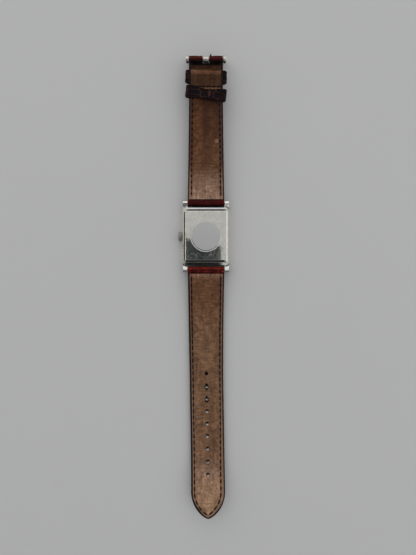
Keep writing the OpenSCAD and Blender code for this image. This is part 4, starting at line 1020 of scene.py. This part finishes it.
def stitches(strap, on_face, thread):
    """Rows of stitches on one side of a strap piece."""
    places = seam_places(strap, 3.2, strap.length if strap.pointed else PATCH_S - 1.2)
    if not strap.pointed:
        places += [(np.array([x, PATCH_S + 0.1]), np.array([1.0, 0.0])) for x in np.linspace(-6.3, 6.3, 6)]
    side, up = ("face", -1.0) if on_face else ("lining", 1.0)
    copies = []
    for p, way in places:
        if on_face:
            depth = float(face_depth(strap, p[0], p[1], strap.half(p[1]))) - 0.02
        else:
            depth = 0.13 if not strap.pointed and p[1] > PATCH_S - 0.5 else 0.03
        long = 1.0 if strap.pointed or abs(way[0]) > 0.9 else 0.64
        copies.append(((*p, depth), (-way[1] * up, way[0] * up, 0), (*(way * long), 0), (0, 0, up)))
    obj = laid(many(f"{strap.name}_{side}_stitches", stitch_model(), copies), strap)
    finished(obj, strap.body, side + "_leather", thread)


def loop_outline(half, top, low, radius, count=150):
    """Even places and outward directions round a rounded rectangle in x and t, and the distance run."""
    cx, cz = half - radius, (top - low) / 2 - radius
    points, normals = [], []
    for qx, qz, a0 in ((1, 1, 0), (-1, 1, 90), (-1, -1, 180), (1, -1, 270)):
        for a in np.radians(np.linspace(a0, a0 + 90, 14)):
            points.append((qx * cx + radius * math.cos(a), qz * cz + radius * math.sin(a)))
            normals.append((math.cos(a), math.sin(a)))
    points, normals = np.array(points + points[:1]), np.array(normals + normals[:1])
    run = line_run(points)
    at = np.linspace(0, run[-1], count, endpoint=False)
    p, n = (np.stack([np.interp(at, run, v[:, i]) for i in (0, 1)], 1) for v in (points, normals))
    return p + (0, (top + low) / 2), n / np.linalg.norm(n, axis=1)[:, None], at


def keeper(name, at_s, top, skew, seed, body, node, loose):
    """Band of croc leather round the strap, pressed with long scales and rubbed where it laps over itself."""
    side = KEEPER_W / 2
    half = float(SHORT.half(at_s)) + 2.0
    p, n, run = loop_outline(half, top, -LINING_T - PAD_THIN - FACE_T - 2.7 - KEEPER_T, 1.3)
    rims = side - np.array([0, 0.05, 0.15, 0.3])
    across = np.concatenate([-rims, np.linspace(0.5 - side, side - 0.5, 15), rims[::-1]])
    gap = side - np.abs(across)
    flat = np.stack(np.broadcast_arrays(across[None, :], run[:, None]), 2).reshape(-1, 2)
    columns = ((-2.6, 7.5), (-0.3, 6.4), (2.1, 7.1))
    scale = scale_relief(flat, seed, columns, (-5, run[-1] + 5), 2.1).reshape(len(run), len(across))
    sink = 0.2 * scale * smooth(gap / 0.7)[None, :] + rounding(gap, 0.35)[None, :]
    sink += 0.1 * (0.5 + 0.5 * np.sin(run[:, None] * 0.55 + across[None, :] * 0.8))
    on_lining = p[:, 1] > top - 0.7
    if loose:  # the end of the band lies over its start, right of the middle on the lining side
        lap = (on_lining[:, None] * smooth((p[:, :1] + 0.18 * across[None, :] - 1.2) / 0.5) *
               (1 - smooth((p[:, :1] - 8.2) / 1.2)))
        sink += 0.14 - 0.14 * lap
    depth = np.concatenate([sink, np.tile(KEEPER_T - np.array([0.2, 0.05, 0.05, 0.2]), (len(run), 1))], 1)
    x, t = (p[:, None, i] - n[:, None, i] * depth for i in (0, 1))
    w = np.tile(np.concatenate([across, [side, side - 0.1, 0.1 - side, -side]]), (len(run), 1))
    if loose:  # its edge towards the buckle sags in the middle
        w = w * 0.95 - hump(x, 0.5, 4.8) * ((w + side) / KEEPER_W) ** 2 * smooth((t - top + 1.6) / 0.8)
    w = w * (1 - 0.13 * smooth((np.abs(x) - half + 1.1) / 1.1))  # corners worn round at the folds
    c, d = math.cos(math.radians(-skew)), math.sin(math.radians(-skew))
    y, z = SHORT.local(at_s, x * d + w * c + (top - t) * math.tan(math.radians(KEEPER_LEAN)), t)
    world = np.stack([x * c - w * d, BAR_Y + y, BAR_Z + z], 2) * MM
    obj = skin(name, world, ends_meet=True)

    # what the material needs, found again from the places, because merging may reorder points
    co = points_of(obj) / MM
    order = np.array([np.argmin(((world.reshape(-1, 3) / MM - v) ** 2).sum(1)) for v in co])
    row, col = order // w.shape[1], order % w.shape[1]
    outer = col < len(across)
    rim = side - np.abs(w[row, col])
    none = np.zeros(len(row))
    seam = outer * on_lining[row] * hump(p[row, 0], 1.6, 0.9) * hump(w[row, col], 0, 2.2) if loose else none
    # wear where the band laps over itself and along its edges, and wear with painted highlight on the folds
    # at its sides
    rub = (seam * 0.9 + outer * hump(rim, 0.3, 0.25) * 0.25 +
           outer * hump(np.abs(p[row, 0]), half, 0.55) * 0.55)
    note(obj, flat=np.stack([w[row, col], run[row], none], 1), fold=outer, core=none, shade=none, rub=rub,
         groove=np.where(outer, scale[row, np.minimum(col, len(across) - 1)], 0.9),
         edge=np.where(outer & (rim > 0.12), 0, 0.8))
    finish = croc_finish(name + "_leather", paint("keeper"), paint("keeper", 1.3), (0.066, 0.027, 0.024),
                         (0.046, 0.017, 0.019), 0.032)
    finished(obj, body, "keeper_leather", finish, node, angle=60)


# Dial

def dial_track():
    """Printed minute marks round the dial, longer at the fives, and the thin line that carries them."""
    tick = added("cube", size=1)
    with editing(tick):
        bpy.ops.transform.resize(value=(1, TRACK_LINE, 0.02))
    settled(tick)
    copies = []

    def mark(x, y, way, length):
        copies.append(((x, y, TRACK_Z), np.array(way) * length, np.cross((0, 0, 1), way), (0, 0, 1)))

    for i in range(60):
        c, d = math.cos(math.radians(i * 6)), math.sin(math.radians(i * 6))
        k = min(TRACK_X / max(abs(c), 1e-9), TRACK_Y / max(abs(d), 1e-9))
        upright = abs(k * c) > TRACK_X - 1e-6
        way = np.array([math.copysign(1, c), 0, 0] if upright else [0, math.copysign(1, d), 0])
        length = 0.75 if i % 5 == 0 else 0.45
        mark(k * c - way[0] * length / 2, k * d - way[1] * length / 2, way, length)
    for end in (1, -1):
        mark(end * TRACK_X, 0, (0, 1, 0), 2 * TRACK_Y + TRACK_LINE)
    for end in (1, -1):
        mark(0, end * TRACK_Y, (1, 0, 0), 2 * TRACK_X + TRACK_LINE)
    obj = many("dial_track", tick, copies)
    move_points(obj, points_of(obj) * MM)
    finished(obj, "case", "hands", plain_finish("dial_print", (0.03, 0.03, 0.04), 0.5, relief=0.002))


# What a user can change

def length_prop(name, about, value):
    return bpy.props.FloatProperty(name=name, description=about, default=value * MM, min=0, unit="LENGTH",
                                   precision=5)


def colour_prop(name, about, value):
    return bpy.props.FloatVectorProperty(name=name, description=about, default=value, size=3, min=0, max=1,
                                         subtype="COLOR")


class WatchSizes(bpy.types.PropertyGroup):
    """Sizes of the sewn and rounded details."""
    stitch_length: length_prop("Stitch length", "Length of one visible stitch", 2.15)
    stitch_pitch: length_prop("Stitch pitch", "Distance from one stitch to the next", 3.0)
    stitch_inset: length_prop("Stitch inset", "Distance of the seam from the strap's edge", 1.65)
    thread_width: length_prop("Thread width", "Thickness of the sewing thread", 0.68)
    scale_depth: length_prop("Scale depth", "Depth of the grooves between the pressed scales", 0.22)
    edge_round: length_prop("Edge rounding", "Rounding of the case's steel edges", 0.1)


class WatchColours(bpy.types.PropertyGroup):
    """Colours of leather, thread, steel and dial."""
    leather: colour_prop("Leather", "Deep burgundy of the face leather", (0.032, 0.0028, 0.0026))
    leather_red: colour_prop("Leather, red", "Redder burgundy on the scales", (0.220, 0.017, 0.008))
    keeper: colour_prop("Keeper leather", "Dark burgundy of the keepers", (0.0052, 0.0022, 0.0024))
    lining: colour_prop("Lining", "Brown of the worn lining leather", (0.160, 0.086, 0.047))
    lining_pale: colour_prop("Lining, pale", "Tan of the rubbed stretches", (0.262, 0.157, 0.104))
    lining_warm: colour_prop("Lining, warm", "Red-brown near the loops", (0.124, 0.057, 0.029))
    lining_dark: colour_prop("Lining, dark", "Brown of the stains", (0.060, 0.025, 0.013))
    rim: colour_prop("Rim", "Dark brown along the strap's edges and seams", (0.012, 0.006, 0.005))
    edge_paint: colour_prop("Edge paint", "Paint on the cut edges", (0.012, 0.006, 0.006))
    thread: colour_prop("Thread", "Sewing thread", (0.005, 0.003, 0.002))
    steel: colour_prop("Steel", "Polished steel", (0.78, 0.755, 0.67))
    frosted: colour_prop("Frosted steel", "Frosted disc in the back", (0.41, 0.41, 0.395))
    # near white: raw leather inside the holes, painted paler as painted light
    core: colour_prop("Leather core", "Pale raw leather inside the punched holes", (0.90, 0.87, 0.80))
    dial: colour_prop("Dial", "Dial", (0.80, 0.78, 0.71))
    floor: colour_prop("Floor", "Plain floor under the watch", (0.47, 0.465, 0.452))


class WATCH_OT_case(bpy.types.Operator):
    """Case middle, case back and crown with rounded steel edges"""
    bl_idname = "watch.case"
    bl_label = "Case, back and crown"

    def execute(self, context):
        width = context.scene.watch_sizes.edge_round
        rounded("case_shell", "case_middle", "case", "steel",
                steel_finish("case_steel", paint("steel", 0.9), 0.15, painted_shade_ends=True), width)
        rounded("case_back_shell", "case_back", "case", "back_steel", back_finish(), width / 2)
        # painted shade: the crown's steel is a much darker copy of the case's
        rounded("crown_shell", "crown", "crown_body", "steel",
                steel_finish("crown_steel", paint("steel", 0.30), 0.32), width / 2, 1)
        return {"FINISHED"}


class WATCH_OT_buckle(bpy.types.Operator):
    """Buckle frame and tongue with rounded edges"""
    bl_idname = "watch.buckle"
    bl_label = "Buckle and tongue"

    def execute(self, context):
        finish = steel_finish("buckle_steel", paint("steel", 0.6), 0.2)
        rounded("buckle_frame_shell", "buckle_frame", "buckle", "buckle_steel", finish, 0.25 * MM, 3)
        rounded("buckle_tongue_shell", "buckle_tongue", "tongue", "buckle_steel", finish, 0.18 * MM, 3)
        return {"FINISHED"}


class WATCH_OT_linings(bpy.types.Operator):
    """Lining leather of both strap pieces"""
    bl_idname = "watch.linings"
    bl_label = "Linings"

    def execute(self, context):
        for strap in STRAPS:
            lining(strap)
        return {"FINISHED"}


class WATCH_OT_faces(bpy.types.Operator):
    """Croc-pressed face leather of both strap pieces, with the loops round their bars"""
    bl_idname = "watch.faces"
    bl_label = "Face leather"

    def execute(self, context):
        for strap in STRAPS:
            face(strap)
        return {"FINISHED"}


class WATCH_OT_frays(bpy.types.Operator):
    """Thorn of torn leather at the buckle's loop, and loose fibres at the end of the lap"""
    bl_idname = "watch.frays"
    bl_label = "Frayed leather"

    def execute(self, context):
        thorn()
        fibres()
        return {"FINISHED"}


class WATCH_OT_stitches(bpy.types.Operator):
    """Seams on both sides of both strap pieces"""
    bl_idname = "watch.stitches"
    bl_label = "Stitches"

    def execute(self, context):
        thread = thread_finish()
        for strap in STRAPS:
            for on_face in (False, True):
                stitches(strap, on_face, thread)
        return {"FINISHED"}


class WATCH_OT_keepers(bpy.types.Operator):
    """Fixed keeper and the loose keeper that sits askew"""
    bl_idname = "watch.keepers"
    bl_label = "Keepers"

    def execute(self, context):
        keeper("fixed_band", FIXED_S, KEEPER_T / 2 - LINING_T, 1.5, 5, "short_strap", "fixed_keeper", False)
        keeper("loose_band", LOOSE_S, KEEPER_T + 0.1, 6.6, 8, "loose_keeper_body", "loose_keeper", True)
        return {"FINISHED"}


class WATCH_OT_dial(bpy.types.Operator):
    """Printed track of the dial"""
    bl_idname = "watch.dial"
    bl_label = "Dial print"

    def execute(self, context):
        dial_track()
        return {"FINISHED"}


class WATCH_OT_finishes(bpy.types.Operator):
    """Materials of the CAD parts that stay in view"""
    bl_idname = "watch.finishes"
    bl_label = "Finishes of the movement and dial"

    def execute(self, context):
        drawn = metal_finish("bar_steel", (0.20, 0.19, 0.18), 0.38, relief=0.006)
        finishes = {
            "steel": drawn,
            "bar_steel": drawn,
            "movement_steel": metal_finish("nickel", (0.66, 0.66, 0.65), 0.26),
            "iron": metal_finish("magnetic_alloy", (0.22, 0.22, 0.24), 0.45),
            "brass": metal_finish("turned_brass", (0.72, 0.53, 0.25), 0.28, circular=True),
            "gilt": metal_finish("gilt_strip", (0.80, 0.60, 0.25), 0.24),
            "copper": metal_finish("enamelled_copper", (0.72, 0.33, 0.15), relief=0.04),
            "markers": metal_finish("polished_batons", (0.82, 0.80, 0.74), 0.12),
            "hands": metal_finish("blued_hands", (0.03, 0.05, 0.16), 0.22),
            "dial": plain_finish("silvered_dial", paint("dial"), 0.5, 0.1, 0.004, 9.0, Metallic=0.25),
            "board": plain_finish("lacquered_board", (0.03, 0.16, 0.08), 0.3),
            "grey_plastic": plain_finish("moulded_ring", (0.18, 0.18, 0.185), 0.5),
            "black_rubber": plain_finish("seal_rubber", (0.02, 0.02, 0.02), 0.6),
            "seal": plain_finish("nylon_seal", (0.75, 0.75, 0.72), 0.4),
            "crystal": glass_finish(),
        }
        slots = {part["node"]: part["material_slot"] for part in frame["record"]["subparts"]}
        for name, obj in frame["nodes"].items():
            if obj.hide_render:
                continue
            if slots.get(name) not in finishes:
                raise RuntimeError(f"{name} has no finish for its slot {slots.get(name)}")
            obj.data.materials.clear()
            obj.data.materials.append(finishes[slots[name]])
        return {"FINISHED"}


# Cards that only the polished steel sees, as corners in millimetres: two dark ones overhead with a slanting
# end, a dark one beyond the foot end, and a white one on either side.
CARD_Z, CARD_FOOT_Y = 208, -160
DARK_CARDS = (
    ((13.5, 10.4, CARD_Z), (-21.3, 18.5, CARD_Z), (-21.3, CARD_FOOT_Y, CARD_Z), (13.5, CARD_FOOT_Y, CARD_Z)),
    ((-25, 19.4, CARD_Z), (-70, 29.9, CARD_Z), (-70, CARD_FOOT_Y, CARD_Z), (-25, CARD_FOOT_Y, CARD_Z)),
    ((-450, -600, -2), (450, -600, -2), (450, -640, 420), (-450, -640, 420)),
)
WHITE_CARDS = tuple(((k * 500, -260, 60), (k * 500, 300, 60), (k * 420, 300, 420), (k * 420, -260, 420))
                    for k in (-1, 1))
FLOOR_DROP = 0.02  # floor below the lowest point of the watch
EYE = (0.96, -19.8, 205)  # the camera looks straight down
LENS, FILM = 26.92, 36.0


def lamp(name, place, width, watts):
    """Square lamp that faces the watch, with its place in metres."""
    light = bpy.data.lights.new(name, "AREA")
    light.size, light.energy = width, watts
    obj = bpy.data.objects.new(name, light)
    obj.location = place
    obj.rotation_euler = (-Vector(place)).to_track_quat("-Z", "Y").to_euler()
    bpy.context.scene.collection.objects.link(obj)


class WATCH_OT_stage(bpy.types.Operator):
    """Floor, soft light, cards and camera"""
    bl_idname = "watch.stage"
    bl_label = "Stage"

    def execute(self, context):
        scene = context.scene
        scene.view_settings.view_transform = "Standard"
        floor = added("plane", size=6, location=(0, -0.02, CAD_BOX[0].z - FLOOR_DROP * MM))
        floor.name = "floor"
        f = Finish("pale_floor", Roughness=0.85)
        f.set(Base_Color=f.mix(f.noise(0.02, 3, 0.5) * 0.25, paint("floor"), paint("floor", 0.93)))
        floor.data.materials.append(f.material)
        dark = Finish("dark_card", Roughness=0.9, Base_Color=(0.030, 0.036, 0.042), Emission_Strength=1.0)
        speckle = (dark.noise(0.16, 5, 0.8).step(0.38, 0.62, (0.1, 1.4)) *
                   dark.noise(0.5, 4, 0.7).step(0.38, 0.62, (0.3, 1.7)))
        dark.set(Emission_Color=dark.mix(speckle * 0.5, (0.0, 0.001, 0.002), (0.055, 0.068, 0.078)))
        white = Finish("white_card", Roughness=0.9, Emission_Color=(1.0, 1.0, 1.0), Emission_Strength=1.0)
        for i, corners in enumerate(DARK_CARDS + WHITE_CARDS):
            card = added("plane", size=1)
            card.name = f"card_{i}"
            move_points(card, np.array([corners[k] for k in (0, 1, 3, 2)]) * MM)
            card.visible_camera = card.visible_diffuse = card.visible_shadow = False
            card.data.materials.append((dark if i < len(DARK_CARDS) else white).material)

        world = bpy.data.worlds.new("soft_sky")
        scene.world = world
        world.use_nodes = True
        sky = world.node_tree.nodes["Background"]
        sky.inputs["Color"].default_value = (0.93, 0.95, 1.0, 1)
        sky.inputs["Strength"].default_value = 0.6
        lamp("key", (-0.26, 0.88, 0.8), 1.875, 8.2)
        lamp("fill", (0.6, -0.3, 0.9), 1.1, 2.0)

        lens = bpy.data.cameras.new("camera")
        lens.lens, lens.sensor_width, lens.sensor_fit = LENS, FILM, "AUTO"
        lens.clip_start = 0.01
        camera = bpy.data.objects.new("camera", lens)
        camera.location = [v * MM for v in EYE]
        scene.collection.objects.link(camera)
        scene.camera = camera
        return {"FINISHED"}


BUILD = (WATCH_OT_case, WATCH_OT_buckle, WATCH_OT_linings, WATCH_OT_faces, WATCH_OT_frays, WATCH_OT_stitches,
         WATCH_OT_keepers, WATCH_OT_dial, WATCH_OT_finishes, WATCH_OT_stage)


class WATCH_PT_panel(bpy.types.Panel):
    """Everything that builds the watch"""
    bl_label = "Wristwatch"
    bl_idname = "WATCH_PT_panel"
    bl_space_type = "VIEW_3D"
    bl_region_type = "UI"
    bl_category = "Watch"

    def draw(self, context):
        for operator in BUILD:
            self.layout.operator(operator.bl_idname)
        for group in (context.scene.watch_sizes, context.scene.watch_colours):
            box = self.layout.box()
            for name in group.__annotations__:
                box.prop(group, name)


CLASSES = (WatchSizes, WatchColours, *BUILD, WATCH_PT_panel)


def register():
    for cls in CLASSES:
        bpy.utils.register_class(cls)
    bpy.types.Scene.watch_sizes = bpy.props.PointerProperty(type=WatchSizes)
    bpy.types.Scene.watch_colours = bpy.props.PointerProperty(type=WatchColours)


def unregister():
    del bpy.types.Scene.watch_sizes, bpy.types.Scene.watch_colours
    for cls in reversed(CLASSES):
        bpy.utils.unregister_class(cls)


def main():
    register()
    for operator in BUILD:
        group, name = operator.bl_idname.split(".")
        getattr(getattr(bpy.ops, group), name)()


if __name__ == "__main__":
    main()
